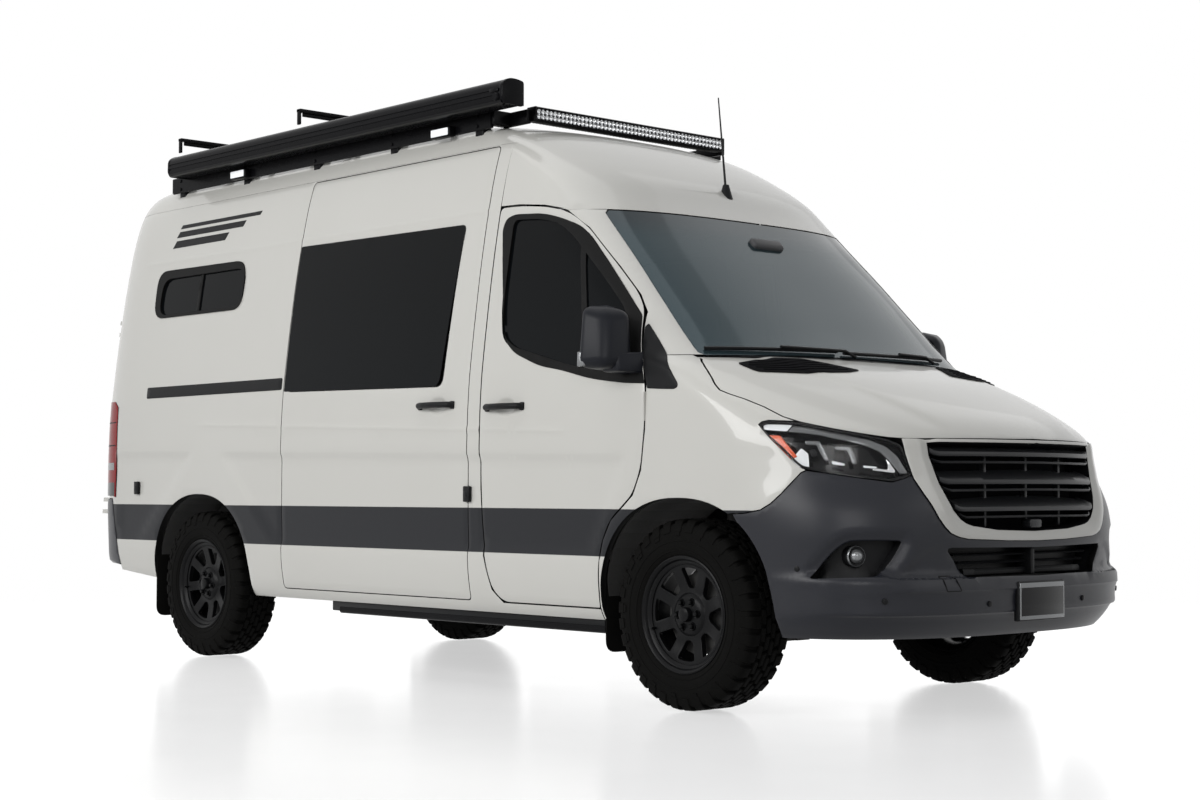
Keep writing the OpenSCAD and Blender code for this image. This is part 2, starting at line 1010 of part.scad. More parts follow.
// louvres of the grille and the screen of the lower opening
module grille() {
    color(black)
        placed()
            panel_mesh()
                union() {
                    difference() {
                        intersection() {
                            shell(2, 36);
                            along_x(700, 1300)
                                offset(delta = -fit)
                                    grille_2d();
                        }
                        difference() {
                            along_x(700, 1300)
                                louvre_gaps_2d([744, 832, 920, 1008], 62);
                            body_loft(30);
                        }
                    }
                    difference() {
                        intersection() {
                            shell(10, 30);
                            along_x(700, 1300)
                                offset(delta = -fit)
                                    intake_2d();
                        }
                        difference() {
                            along_x(700, 1300)
                                louvre_gaps_2d([566, 600, 634], 20);
                            body_loft(24);
                        }
                    }
                }
}

module louvre_gaps_2d(starts, h) {
    for (z = starts)
        rect_2d(-700, 700, z, z + h);
}

module windshield() {
    color(glass)
        placed()
            panel_mesh()
                intersection() {
                    shell(3, 3 + glass_t);
                    along_x(-900, 400)
                        offset(delta = -fit)
                            windshield_2d();
                }
}

module wipers() {
    color(black)
        placed()
            panel_mesh()
                intersection() {
                    shell(-12, 3 - fit);
                    along_x(-400, 400)
                        union() {
                            polygon([[-735, 1480], [-735, 1494], [-130, 1536], [-130, 1522]]);
                            polygon([[60, 1480], [60, 1494], [660, 1540], [660, 1526]]);
                            polygon([[-410, 1518], [-390, 1518], [-20, 1480], [-50, 1473]]);
                            polygon([[380, 1516], [400, 1516], [720, 1474], [690, 1466]]);
                        }
                }
}

// doors and their glass
module front_door(s) {
    panel_mesh()
        intersection() {
            shell(0, wall_t);
            on_side(s)
                difference() {
                    offset(delta = -door_gap / 2)
                        front_door_2d();
                    door_window_2d();
                }
        }
}

module front_door_right() {
    color(paint)
        placed()
            front_door(-1);
}

module front_door_left() {
    color(paint)
        placed()
            front_door(1);
}

module door_glass(s) {
    panel_mesh()
        intersection() {
            shell(4, 4 + glass_t);
            on_side(s)
                offset(delta = -fit)
                    door_window_2d();
        }
}

module door_glass_right() {
    color(glass)
        placed()
            door_glass(-1);
}

module door_glass_left() {
    color(glass)
        placed()
            door_glass(1);
}

// the mirror swept back from its foot on the door
module mirror_unit(s) {
    panel_mesh()
        difference() {
            scale([1, s, 1])
                union() {
                    hull() {
                        for (p = mirror_corners)
                            translate([p[0], half_w + p[1], p[2]])
                                sphere(r = p[3], $fn = 16);
                    }
                    hull() {
                        translate([-262, half_w - 40, 1420])
                            cube([90, 40, 84], center = true);
                        translate([-300, half_w + 70, 1425])
                            cube([80, 20, 64], center = true);
                    }
                }
            body_loft(-fit);
        }
}

// corners of the mirror's head: place along, place out from the body, height, rounding
mirror_corners = [[-375, 62, 1418, 28], [-378, 130, 1422, 30], [-370, 66, 1638, 30], [-372, 118, 1636, 32],
    [-268, 66, 1420, 28], [-300, 118, 1428, 30], [-280, 68, 1610, 28], [-312, 104, 1600, 30]];

module mirror_right() {
    color(black)
        placed()
            mirror_unit(-1);
}

module mirror_left() {
    color(black)
        placed()
            mirror_unit(1);
}

module rear_door(s) {
    panel_mesh()
        difference() {
            union() {
                intersection() {
                    shell(0, wall_t);
                    along_x(tail_x - 100, tail_x + 300)
                        rear_door_2d(s);
                }
                scale([1, s, 1])
                    for (z = rear_hinge_zs)
                        rear_strap(z);
            }
            along_x(tail_x - 100, tail_x + 300)
                rear_window_2d(s);
        }
}

module rear_door_right() {
    color(paint)
        placed()
            rear_door(-1);
}

module rear_door_left() {
    color(paint)
        placed()
            rear_door(1);
}

module rear_glass(s) {
    panel_mesh()
        intersection() {
            shell(2, 2 + glass_t);
            along_x(tail_x - 100, tail_x + 300)
                offset(delta = -fit)
                    rear_window_2d(s);
        }
}

module rear_glass_right() {
    color(glass)
        placed()
            rear_glass(-1);
}

module rear_glass_left() {
    color(glass)
        placed()
            rear_glass(1);
}

// pins on the hinge lines of the front and rear doors, each on a leaf that reaches the body
module door_hinges() {
    color(paint)
        placed()
            panel_mesh()
                union() {
                    mirrored() {
                        translate([front_hinge_x, front_hinge_y, 1180])
                            cylinder(r = 3.4, h = 120, $fn = 16);
                        box(front_hinge_x - 2, front_hinge_x + door_gap / 2 - fit, half_w - 30, front_hinge_y, 1180, 1300);
                    }
                    mirrored()
                        for (z = rear_hinge_zs)
                            rear_hinge(z);
                }
}

function rear_edge(z) = rear_edge_low - rear_edge_lean * (z - rear_low);

// two ears on the body hold the pin, and the knuckle of the door turns between them
module rear_hinge(z) {
    difference() {
        at_rear_hinge(z)
            union() {
                cylinder(r = hinge_r, h = 92, center = true, $fn = 16);
                for (h = [-46, 23])
                    translate([-5, 0, h])
                        cube([90, 60, 23]);
            }
        body_loft(-fit);
    }
}

module rear_strap(z) {
    at_rear_hinge(z)
        difference() {
            union() {
                cylinder(r = hinge_r + 2 * fit + hinge_wall, h = 42, center = true, $fn = 16);
                translate([-6, -62, -21])
                    cube([50, 62, 42]);
            }
            cylinder(r = hinge_r + 2 * fit, h = 60, center = true, $fn = 16);
        }
}

module at_rear_hinge(z) {
    translate([rear_hinge_x, rear_edge(z) + door_gap / 2, z])
        rotate([atan(rear_edge_lean), 0, 0])
            children();
}

module tail_lamps() {
    color("#8c1d1d")
        placed()
            panel_mesh()
                difference() {
                    intersection() {
                        shell(0, wall_t);
                        both_sides()
                            tail_lamp_2d();
                    }
                    rear_opening();
                }
}

module rear_bumper() {
    color(plastic)
        placed()
            panel_mesh()
                union() {
                    difference() {
                        intersection() {
                            shell(0, wall_t);
                            both_sides()
                                bumper_corner_2d();
                        }
                        rear_opening();
                        box(tail_x - 100, tail_x + 300, -rear_edge_low - door_gap / 2, rear_edge_low + door_gap / 2,
                            bumper_top, rear_top);
                    }
                    box(tail_x - bumper_out, tail_x + 60, 170 - half_w, half_w - 170, 470, bumper_top);
                    mirrored()
                        box(tail_x + 40, tail_x + 160 - fit, frame_in, frame_out, 520, 590);
                }
}

// receiver tube on a round cross tube, with a pin hole across it
module hitch() {
    color(black)
        placed()
            difference() {
                union() {
                    box(tail_x - 12, tail_x + 230, -38, 38, 385, 461);
                    translate([tail_x + 190, 0, 423])
                        rotate([90, 0, 0])
                            cylinder(r = 32, h = 980, center = true);
                    mirrored()
                        box(tail_x + 165, tail_x + 230, frame_in + 20, frame_out - 20, 423, 520 - fit);
                }
                box(tail_x - 20, tail_x + 150, -25.6, 25.6, 397.4, 448.6);
                translate([tail_x + 40, 0, 423])
                    rotate([90, 0, 0])
                        cylinder(r = 8.2, h = 200, center = true);
            }
}

module mudflaps() {
    color(black)
        placed()
            union() {
                mirrored()
                    box(-481, -473, flap_out - flap_w, flap_out, 228, 330 - fit);
                mirrored()
                    box(rear_x - 485, rear_x - 477, flap_out - flap_w, flap_out, 205, 425 - fit);
            }
}

// a rounded bar below each sill, on three brackets
module side_bars() {
    color(black)
        placed()
            mirrored() {
                along_x(-2432, -495)
                    round_rect_2d(side_bar_out - 60, side_bar_out, 286, 323, 14);
                for (x = [-2300, -1480, -700])
                    box(x, x + 50, side_bar_out - 35, side_bar_out - 12, 310, sill_z - fit);
            }
}

// gear on the roof
module roof_rack() {
    color(black)
        placed()
            panel_mesh()
                difference() {
                    union() {
                        mirrored() {
                            box(rack_rear, rail_front, rail_out - rail_w, rail_out, rail_z, rail_z + rail_h);
                            for (i = [0 : 4])
                                rack_foot(rack_rear + 60 + i * (rack_front - rack_rear - 330) / 4);
                            box(rail_front - 40, rack_front, light_bar_l / 2 + fit, light_bar_l / 2 + 30, 2640, 2680);
                            box(rail_front - 40, rail_front, light_bar_l / 2 + fit, rail_out - 5, 2640, 2680);
                        }
                        for (i = [0 : cross_bars - 1])
                            rack_bar(rack_bar_x(i));
                    }
                    body_loft(-fit);
                }
}

function rack_bar_x(i) = rack_rear + 40 + i * (rack_front - rack_rear - 200) / (cross_bars - 1);

module rack_foot(x) {
    box(x, x + 60, rail_out - 90, rail_out - rail_w + 2, 2500, rail_z + 60);
}

module rack_bar(x) {
    box(x - 20, x + 20, 5 - rail_out, rail_out - 5, 2676, rail_z + rail_h - 2);
}

// two bars above the rack, each on a pair of posts with its ends turned down
module load_bars() {
    color(black)
        placed()
            union() {
                for (i = [0, cross_bars - 5])
                    load_bar(rack_bar_x(i));
            }
}

module load_bar(x) {
    box(x - 18, x + 18, -load_bar_out, load_bar_out, load_bar_z - 37, load_bar_z);
    mirrored() {
        box(x - 18, x + 18, load_bar_out - 25, load_bar_out, load_bar_z - 85, load_bar_z);
        box(x - 15, x + 15, load_bar_out - 285, load_bar_out - 250, rail_z + rail_h - 2 + fit, load_bar_z - 25);
    }
}

module awning() {
    color(black)
        placed()
            translate([awning_front - awning_l, -rail_out - fit, 2670])
                rotate([90, 0, 90])
                    linear_extrude(awning_l)
                        polygon([[0, 0], [0, awning_h - 15], [-15, awning_h], [25 - awning_d, awning_h],
                            [-awning_d, awning_h - 30], [-awning_d, 35], [30 - awning_d, 0]]);
}

module light_bar() {
    color(black)
        placed()
            union() {
                box(rack_front - 35, rack_front + 25, -light_bar_l / 2, light_bar_l / 2, 2632, 2690);
                box(rack_front + 20, rack_front + 29, 15 - light_bar_l / 2, light_bar_l / 2 - 15, 2638, 2684);
            }
}

module antenna() {
    color(black)
        placed()
            panel_mesh()
                difference() {
                    union() {
                        translate([-680, 0, 2250])
                            cylinder(r1 = 34, r2 = 14, h = 70, $fn = 24);
                        translate([-682, 0, 2300])
                            rotate([0, -6, 0])
                                cylinder(r1 = 6, r2 = 3, h = 440, $fn = 12);
                    }
                    body_loft(-fit);
                }
}

// inside the cab
module dashboard() {
    color(black)
        placed()
            panel_mesh()
                difference() {
                    intersection() {
                        union() {
                            along_y(-860, 860)
                                polygon([[firewall_x - fit, 1010], [firewall_x - fit, 1395], [-330, 1380], [-440, 1300], [-460, 1180],
                                    [-370, 1020]]);
                            translate(steering_at)
                                rotate([0, steering_tilt, 0])
                                    translate([0, 0, -360])
                                        cylinder(r = 30, h = 360 - 24);
                        }
                        body_loft(wall_t + 12);
                    }
                }
}

steering_at = [-620, 430, 1365];
steering_tilt = -38;

module steering_wheel() {
    color(black)
        placed()
            translate(steering_at)
                rotate([0, steering_tilt, 0])
                    union() {
                        rotate_extrude()
                            translate([steering_d / 2 - 15, 0])
                                circle(r = 15, $fn = 32);
                        translate([0, 0, -23])
                            cylinder(r = 55, h = 33);
                        for (a = [90, 270, 180])
                            rotate([0, 0, a])
                                box(40, steering_d / 2 - 20, -20, 20, -14, -2);
                    }
}

module cab_seats() {
    color(black)
        placed()
            union() {
                mirrored()
                    translate([0, 460, 0])
                        seat();
            }
}

module seat() {
    h = seat_w / 2;
    box(-1180, -760, 40 - h, h - 40, floor_z + fit, 960);
    along_y(-h, h)
        polygon([[-1250, 940], [-720, 950], [-690, 990], [-700, 1060], [-760, 1070], [-1120, 1050], [-1230, 1560],
            [-1260, 1620], [-1320, 1630], [-1350, 1600], [-1300, 1100]]);
    along_y(-125, 125)
        polygon([[-1260, 1610], [-1245, 1660], [-1262, 1800], [-1330, 1810], [-1352, 1660], [-1330, 1610]]);
}

floor_pan();
chassis_frame();
engine_block();
radiator();
front_suspension();
rear_axle();
drivetrain();
wheel_liners();
body_side_right();
body_side_left();
roof_panel();
cab_frame();
fenders();
front_bumper();
grille_surround();
grille();
headlamps();
windshield();
dashboard();
cab_seats();
sliding_door();
slide_rail();
side_windows();
mudflaps();
side_bars();
wipers();
roof_rack();
load_bars();
awning();
light_bar();
antenna();
tail_lamps();
rear_bumper();
hitch();
door_hinges();
hood();
front_door_right();
front_door_left();
door_glass_right();
door_glass_left();
mirror_right();
mirror_left();
rear_door_right();
rear_door_left();
rear_glass_right();
rear_glass_left();
wheel_front_right();
wheel_front_left();
wheel_rear_right();
wheel_rear_left();
tyre_front_right();
tyre_front_left();
tyre_rear_right();
tyre_rear_left();
knuckle_right();
knuckle_left();
steering_wheel();
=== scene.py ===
import math
import bpy
import numpy as np
from mathutils import Matrix, Vector
from mathutils.geometry import delaunay_2d_cdt


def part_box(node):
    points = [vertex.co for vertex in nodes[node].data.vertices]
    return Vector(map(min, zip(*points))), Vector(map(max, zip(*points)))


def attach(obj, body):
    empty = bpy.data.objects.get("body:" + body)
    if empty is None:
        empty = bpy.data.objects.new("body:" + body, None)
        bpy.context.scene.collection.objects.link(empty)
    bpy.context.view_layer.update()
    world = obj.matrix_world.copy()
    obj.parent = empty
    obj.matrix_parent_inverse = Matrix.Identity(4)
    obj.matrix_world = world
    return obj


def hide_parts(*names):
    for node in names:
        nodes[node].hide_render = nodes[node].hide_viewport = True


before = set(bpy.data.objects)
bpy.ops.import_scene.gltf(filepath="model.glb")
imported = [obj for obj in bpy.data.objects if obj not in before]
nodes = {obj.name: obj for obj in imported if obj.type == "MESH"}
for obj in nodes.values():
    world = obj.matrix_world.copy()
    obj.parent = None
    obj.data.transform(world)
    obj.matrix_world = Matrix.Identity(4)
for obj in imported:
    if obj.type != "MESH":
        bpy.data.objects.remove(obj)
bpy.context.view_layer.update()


def middleOf(node):
    low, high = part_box(node)
    return [(low[i] + high[i]) / 2 for i in range(3)]


# lengths below are millimetres from the front axle, the middle of the van and the ground
axleX = middleOf("wheel_front_left")[0] * 1000
rearAxle = middleOf("wheel_rear_left")[0] * 1000 - axleX
axleZ = middleOf("wheel_front_left")[2] * 1000
wheelY = middleOf("wheel_front_left")[1] * 1000


def toMetres(points):
    out = np.array(points, float)
    out[:, 0] += axleX
    return out / 1000


sideWords = ((-1, "right"), (1, "left"))
sideTurn = {side: np.array([1, side, 1]) for side, word in sideWords}


class Shade:
    # a socket that takes part in plain arithmetic
    def __init__(self, finish, socket):
        self.finish = finish
        self.socket = socket

    def math(self, kind, first, second):
        return self.finish.node("ShaderNodeMath", {"operation": kind}, {0: first, 1: second})

    def __add__(self, other):
        return self.math("ADD", self, other)

    def __mul__(self, other):
        return self.math("MULTIPLY", self, other)

    def __rsub__(self, other):
        return self.math("SUBTRACT", other, self)

    def __gt__(self, other):
        return self.math("GREATER_THAN", self, other)

    def __abs__(self):
        return self.math("ABSOLUTE", self, 0.0)


class Finish:
    def __init__(self, name, **constants):
        self.material = bpy.data.materials.new(name)
        self.material.use_nodes = True
        self.tree = self.material.node_tree
        self.shader = self.tree.nodes["Principled BSDF"]
        for label, value in constants.items():
            self.shader.inputs[label.replace("_", " ")].default_value = value

    def node(self, kind, settings=None, sockets=None, out=0):
        made = self.tree.nodes.new(kind)
        for label, value in (settings or {}).items():
            setattr(made, label, value)
        for label, value in (sockets or {}).items():
            if isinstance(value, Shade):
                self.tree.links.new(value.socket, made.inputs[label])
            else:
                made.inputs[label].default_value = value
        return Shade(self, made.outputs[out])

    def feed(self, label, shade):
        self.tree.links.new(shade.socket, self.shader.inputs[label])

    def place(self):
        return self.node("ShaderNodeTexCoord", out="Object")

    def axis(self, letter):
        return self.node("ShaderNodeSeparateXYZ", {}, {0: self.place()}, out=letter)

    def noise(self, scale, detail=3.0):
        return self.node("ShaderNodeTexNoise", {}, {"Vector": self.place(), "Scale": scale, "Detail": detail})

    def mix(self, factor, first, second):
        kind = {"data_type": "RGBA"}
        return self.node("ShaderNodeMix", kind, {0: factor, 6: first, 7: second}, out=2)

    def step(self, shade, low, high):
        limits = {"interpolation_type": "SMOOTHSTEP"}
        return self.node("ShaderNodeMapRange", limits, {0: shade, 1: low, 2: high})

    def bump(self, height, strength, distance):
        sockets = {"Height": height, "Strength": strength, "Distance": distance}
        self.feed("Normal", self.node("ShaderNodeBump", {}, sockets))


def colour(red, green, blue):
    return (red, green, blue, 1.0)


paintSettings = {
    "stone": colour(0.595, 0.588, 0.555),
    "stoneWarm": colour(0.572, 0.564, 0.530),
    "band": colour(0.009, 0.0098, 0.0125),
    "bandLow": 0.615,
    "bandHigh": 0.815,
    "bandEdge": 0.0015,
    "bandOut": 0.80,
}


def paintFinish(name, banded):
    s = paintSettings
    f = Finish(name, Coat_Roughness=0.04, Specular_IOR_Level=0.2)
    cloud = f.noise(1.7)
    stone = f.mix(cloud, s["stone"], s["stoneWarm"])
    rough = f.noise(40.0) * 0.08 + 0.26
    gloss = f.noise(2.0) * 0.06 + 0.5
    if banded:
        up = f.axis("Z")
        mask = f.step(up, s["bandLow"] - s["bandEdge"], s["bandLow"] + s["bandEdge"])
        mask = mask * (1 - f.step(up, s["bandHigh"] - s["bandEdge"], s["bandHigh"] + s["bandEdge"]))
        mask = mask * (abs(f.axis("Y")) > s["bandOut"])
        stone = f.mix(mask, stone, s["band"])
        rough = rough + mask * 0.12
        gloss = gloss * (1 - mask * 0.9)
    f.feed("Base Color", stone)
    f.feed("Roughness", rough)
    f.feed("Coat Weight", gloss)
    f.bump(f.noise(700.0, 2.0), 0.04, 0.0006)
    return f.material


def grainFinish(name, dark, light, rough, scale, depth, **constants):
    # moulded plastic, rubber and coats: two close colours, a fine grain and an uneven gloss
    f = Finish(name, **constants)
    cloud = f.noise(6.0, 4.0)
    f.feed("Base Color", f.mix(cloud, dark, light))
    f.feed("Roughness", f.noise(scale * 0.2) * 0.14 + (rough - 0.07))
    f.bump(f.noise(scale, 4.0), 0.35, depth)
    return f.material


def glassFinish(name, tint, alpha, **constants):
    f = Finish(name, Roughness=0.02, Alpha=alpha, **constants)
    fade = f.step(f.axis("Z"), 1.3, 2.2)
    f.feed("Base Color", f.mix(fade, tint, tuple(v * 0.6 for v in tint[:3]) + (1.0,)))
    return f.material


def screenFinish(name, tint, alpha, bandLow, bandHigh):
    # clear below, with a dark band along the top
    f = Finish(name, Roughness=0.08, Specular_IOR_Level=0.42, Specular_Tint=colour(0.70, 0.90, 1.0))
    band = f.step(f.axis("Z"), bandLow, bandHigh)
    f.feed("Base Color", f.mix(band, tint, colour(0.008, 0.010, 0.012)))
    f.feed("Alpha", band * (1 - alpha) + alpha)
    return f.material


finishes = {
    "paintBand": paintFinish("paintBand", True),
    "paint": paintFinish("paint", False),
    "bumper": grainFinish("bumperPlastic", colour(0.011, 0.012, 0.017), colour(0.014, 0.015, 0.020), 0.34, 900.0,
                          0.0002, Specular_IOR_Level=0.26),
    "trim": grainFinish("blackTrim", colour(0.006, 0.0063, 0.007), colour(0.009, 0.0093, 0.010), 0.38, 1100.0, 0.0003,
                        Specular_IOR_Level=0.11),
    "louvre": grainFinish("louvreCoat", colour(0.013, 0.0135, 0.015), colour(0.017, 0.0175, 0.019), 0.34, 900.0, 0.0002,
                          Specular_IOR_Level=0.28),
    "mesh": grainFinish("meshBlack", colour(0.004, 0.004, 0.0045), colour(0.007, 0.007, 0.008), 0.85, 600.0, 0.0008,
                        Specular_IOR_Level=0.03),
    "glossBlack": grainFinish("glossBlack", colour(0.003, 0.003, 0.004), colour(0.005, 0.005, 0.006), 0.12, 300.0,
                              0.00005, Specular_IOR_Level=0.2),
    "rack": grainFinish("rackCoat", colour(0.003, 0.003, 0.0035), colour(0.005, 0.005, 0.006), 0.26, 1500.0, 0.0002,
                        Specular_IOR_Level=0.06),
    "rubber": grainFinish("rubber", colour(0.003, 0.003, 0.0028), colour(0.0045, 0.0043, 0.004), 0.72, 500.0, 0.0006,
                          Specular_IOR_Level=0.04),
    # black rubber for the frames and strips round the glass; it also goes on the rim of every body panel, where it is
    # partly the rubber in the gaps and partly painted shade in the gaps and arches
    "sealAndGapShade": grainFinish("sealRubberAndGapShade", colour(0.003, 0.003, 0.003), colour(0.005, 0.005, 0.005), 0.50, 700.0, 0.0003,
                        Specular_IOR_Level=0.09),
    "wheel": grainFinish("wheelCoat", colour(0.003, 0.0031, 0.0035), colour(0.005, 0.0051, 0.0056), 0.32, 1300.0,
                         0.0002,
                         Specular_IOR_Level=0.10),
    "under": grainFinish("underCoat", colour(0.018, 0.018, 0.018), colour(0.034, 0.033, 0.031), 0.75, 240.0, 0.0012),
    "cast": grainFinish("castMetal", colour(0.20, 0.20, 0.205), colour(0.29, 0.29, 0.295), 0.50, 300.0, 0.0008,
                        Metallic=0.8),
    "mirror": grainFinish("mirrorCoat", colour(0.007, 0.008, 0.011), colour(0.009, 0.010, 0.014), 0.36, 900.0, 0.0001,
                          Specular_IOR_Level=0.14),
    "cabin": grainFinish("cabinPlastic", colour(0.020, 0.020, 0.022), colour(0.030, 0.030, 0.033), 0.60, 800.0, 0.0005),
    "chrome": grainFinish("brightMetal", colour(0.72, 0.73, 0.75), colour(0.80, 0.81, 0.82), 0.13, 200.0, 0.00003,
                          Metallic=1.0),
    "lampGuide": grainFinish("lampGuide", colour(0.15, 0.155, 0.16), colour(0.22, 0.225, 0.23), 0.22, 60.0, 0.0004,
                             Metallic=0.5),
    "darkGlass": glassFinish("darkGlass", colour(0.004, 0.005, 0.006), 0.97, Specular_IOR_Level=0.08),
    "screenGlass": screenFinish("screenGlass", colour(0.030, 0.050, 0.058), 0.78, 1.98, 2.11),
    "lampGlass": glassFinish("lampGlass", colour(0.02, 0.02, 0.022), 0.10, Specular_IOR_Level=0.6),
    "tailRed": grainFinish("tailRed", colour(0.21, 0.004, 0.006), colour(0.27, 0.007, 0.009), 0.16, 300.0, 0.0001,
                           Specular_IOR_Level=0.07),
    "amber": grainFinish("amberLens", colour(0.62, 0.075, 0.012), colour(0.70, 0.10, 0.02), 0.14, 300.0, 0.0001,
                         Coat_Weight=0.3, Emission_Color=colour(0.75, 0.10, 0.025), Emission_Strength=0.35),
}
print("finishes:", len(finishes))

# the outside of the van: sections by height, and the plan of each section
bodyShape = {
    "halfWidth": 1010,
    "noseX": 1045,
    "tailX": -4855,
    "tailAlong": 380,
    "tailAcross": 200,
    # height, side in from the widest place, nose back from the foremost place, start of the front curve,
    # squareness of that curve, tail in from the rearmost place
    "lowRows": [
        (320, 74, 78, 300, 2.7, 60), (400, 32, 18, 300, 2.9, 15), (460, 20, 0, 300, 2.95, 5),
        (540, 10, 0, 300, 2.95, 0), (585, 8, 15, 300, 2.75, 0), (700, 3, 12, 300, 2.75, 0), (800, 0, 8, 300, 2.6, 0),
        (960, 0, 4, 300, 2.1, 0), (1060, 1, 8, 295, 2.0, 0), (1090, 1, 14, 288, 2.0, 0), (1120, 2, 40, 270, 2.0, 0),
        (1180, 4, 132, 220, 2.0, 0), (1260, 7, 302, 120, 2.05, 0), (1340, 12, 507, -20, 2.15, 0),
        (1410, 17, 737, -150, 2.4, 0),
    ],
    # the same with the nose measured from the front axle
    "highRows": [
        (1456, 22, 150, -290, 2.7, 0), (1500, 27, 95, -340, 2.75, 0), (1700, 52, -115, -520, 2.8, 0),
        (1900, 80, -315, -700, 2.85, 0), (2100, 113, -515, -890, 2.85, 0), (2180, 128, -590, -960, 2.8, 0),
        (2290, 150, -690, -1060, 2.7, 0), (2360, 166, -785, -1140, 2.64, 2), (2420, 182, -880, -1225, 2.56, 6),
        (2480, 200, -985, -1320, 2.5, 13), (2530, 220, -1085, -1410, 2.43, 24), (2570, 244, -1185, -1500, 2.37, 38),
        (2605, 275, -1300, -1600, 2.3, 58), (2632, 320, -1430, -1700, 2.24, 84), (2652, 382, -1570, -1820, 2.17, 118),
        (2666, 470, -1750, -1960, 2.1, 165), (2674, 600, -1980, -2160, 2.0, 240), (2678, 800, -2240, -2380, 2.0, 330),
        (2680, 1006, -2480, -2560, 2.0, 420),
    ],
    "frontSpan": 1450,
    "sideSpan": 2600,
    "cornerSpan": 460,
    "rearSpan": 800,
    # a place inside, and how much each direction counts in telling outward from inward
    "core": (-1900.0, 0.0, 1400.0),
    "coreWeight": (0.4, 1.0, 0.6),
}
tailX = bodyShape["tailX"]
sideEnd = tailX + bodyShape["tailAlong"]


def smoothCurve(keys, values):
    # a curve through all the values that never swings past them
    k = np.array(keys, float)
    v = np.array(values, float)
    h = np.diff(k)
    d = np.diff(v) / h
    m = np.zeros(len(v))
    m[0] = d[0]
    m[-1] = d[-1]
    for i in range(1, len(k) - 1):
        if d[i - 1] * d[i] > 0:
            a = 2 * h[i] + h[i - 1]
            b = h[i] + 2 * h[i - 1]
            m[i] = (a + b) / (a / d[i - 1] + b / d[i])

    def value(x):
        x = np.clip(np.asarray(x, float), k[0], k[-1])
        i = np.clip(np.searchsorted(k, x) - 1, 0, len(h) - 1)
        t = (x - k[i]) / h[i]
        start = (1 + 2 * t) * (1 - t) ** 2 * v[i] + t * (1 - t) ** 2 * h[i] * m[i]
        return start + t * t * (3 - 2 * t) * v[i + 1] + t * t * (t - 1) * h[i] * m[i + 1]
    return value


bodyRows = [(z, s, bodyShape["noseX"] - n, c, q, t) for z, s, n, c, q,
            t in bodyShape["lowRows"]] + bodyShape["highRows"]
rowColumns = list(zip(*bodyRows))
rowPath = np.concatenate([[0], np.cumsum(np.hypot(np.diff(rowColumns[0]), np.diff(rowColumns[1])))])
columnByPath = [smoothCurve(rowPath, column) for column in rowColumns]
densePath = np.linspace(0, rowPath[-1], 4000)
denseZ = columnByPath[0](densePath)


def pathOf(z):
    return np.interp(z, denseZ, densePath)


def section(path):
    z, sideIn, nose, start, square, tailIn = [column(path) for column in columnByPath]
    return z, bodyShape["halfWidth"] - sideIn, nose, start, square, tailX + tailIn


def frontShare(t, square):
    # spreads points evenly round the front curve
    k = square / 2
    a = np.clip(t, 0, 1) ** k
    b = (1 - np.clip(t, 0, 1)) ** k
    return np.pi / 2 * a / (a + b)


def shareOfAngle(angle, square):
    g = np.clip(angle / (np.pi / 2), 0, 0.999999)
    r = (g / (1 - g)) ** (2 / square)
    return r / (1 + r)


def frontMap(u, z):
    z, w, n, c, square, q = section(pathOf(z))
    angle = frontShare(np.asarray(u) / bodyShape["frontSpan"], square)
    e = 2 / square
    return np.stack([c + (n - c) * np.cos(angle) ** e, w * np.sin(angle) ** e, z], -1)


def sideMap(s, z):
    z, w, n, c, square, q = section(pathOf(z))
    s = np.asarray(s, float)
    x = s + (q - tailX) * np.clip((sideEnd + 520 - s) / 520, 0, 1)
    reach = np.clip((x - c) / (n - c), 0, 0.9999)
    y = np.where(x > c, w * (1 - reach ** square) ** (1 / square), w)
    angle = np.clip((sideEnd - s) / bodyShape["cornerSpan"], 0, 1) * np.pi / 2
    corner = s < sideEnd
    x = np.where(corner, q + bodyShape["tailAlong"] * (1 - np.sin(angle)), x)
    y = np.where(corner, w - bodyShape["tailAcross"] * (1 - np.cos(angle)), y)
    past = np.maximum(0, sideEnd - bodyShape["cornerSpan"] - s)
    return np.stack([x, y - past, z], -1)


def ringMap(u, path):
    # all round the roof: the front curve, the side, the rear corner and the tail
    z, w, n, c, square, q = section(path)
    u = np.asarray(u, float)
    angle = frontShare(u / bodyShape["frontSpan"], square)
    e = 2 / square
    x = c + (n - c) * np.cos(angle) ** e
    y = w * np.sin(angle) ** e
    along = np.clip((u - bodyShape["frontSpan"]) / bodyShape["sideSpan"], 0, 1)
    x = np.where(along > 0, c + (q + bodyShape["tailAlong"] - c) * along, x)
    y = np.where(along > 0, w, y)
    across = np.minimum(bodyShape["tailAcross"], w * 0.5)
    late = u - bodyShape["frontSpan"] - bodyShape["sideSpan"]
    turn = np.clip(late / bodyShape["cornerSpan"], 0, 1) * np.pi / 2
    x = np.where(late > 0, q + bodyShape["tailAlong"] * (1 - np.sin(turn)), x)
    y = np.where(late > 0, w - across * (1 - np.cos(turn)), y)
    end = np.clip((late - bodyShape["cornerSpan"]) / bodyShape["rearSpan"], 0, 1)
    y = np.where(end > 0, (w - across) * (1 - end), y)
    return np.stack([x, y, z], -1)


def frontOfX(x, z):
    z, w, n, c, square, q = section(pathOf(z))
    reach = np.clip((np.asarray(x) - c) / (n - c), 0, 1)
    return bodyShape["frontSpan"] * shareOfAngle(np.arccos(reach ** (square / 2)), square)


def frontOfY(y, z):
    z, w, n, c, square, q = section(pathOf(z))
    reach = np.clip(np.asarray(y) / w, 0, 1)
    return bodyShape["frontSpan"] * shareOfAngle(np.arcsin(reach ** (square / 2)), square)


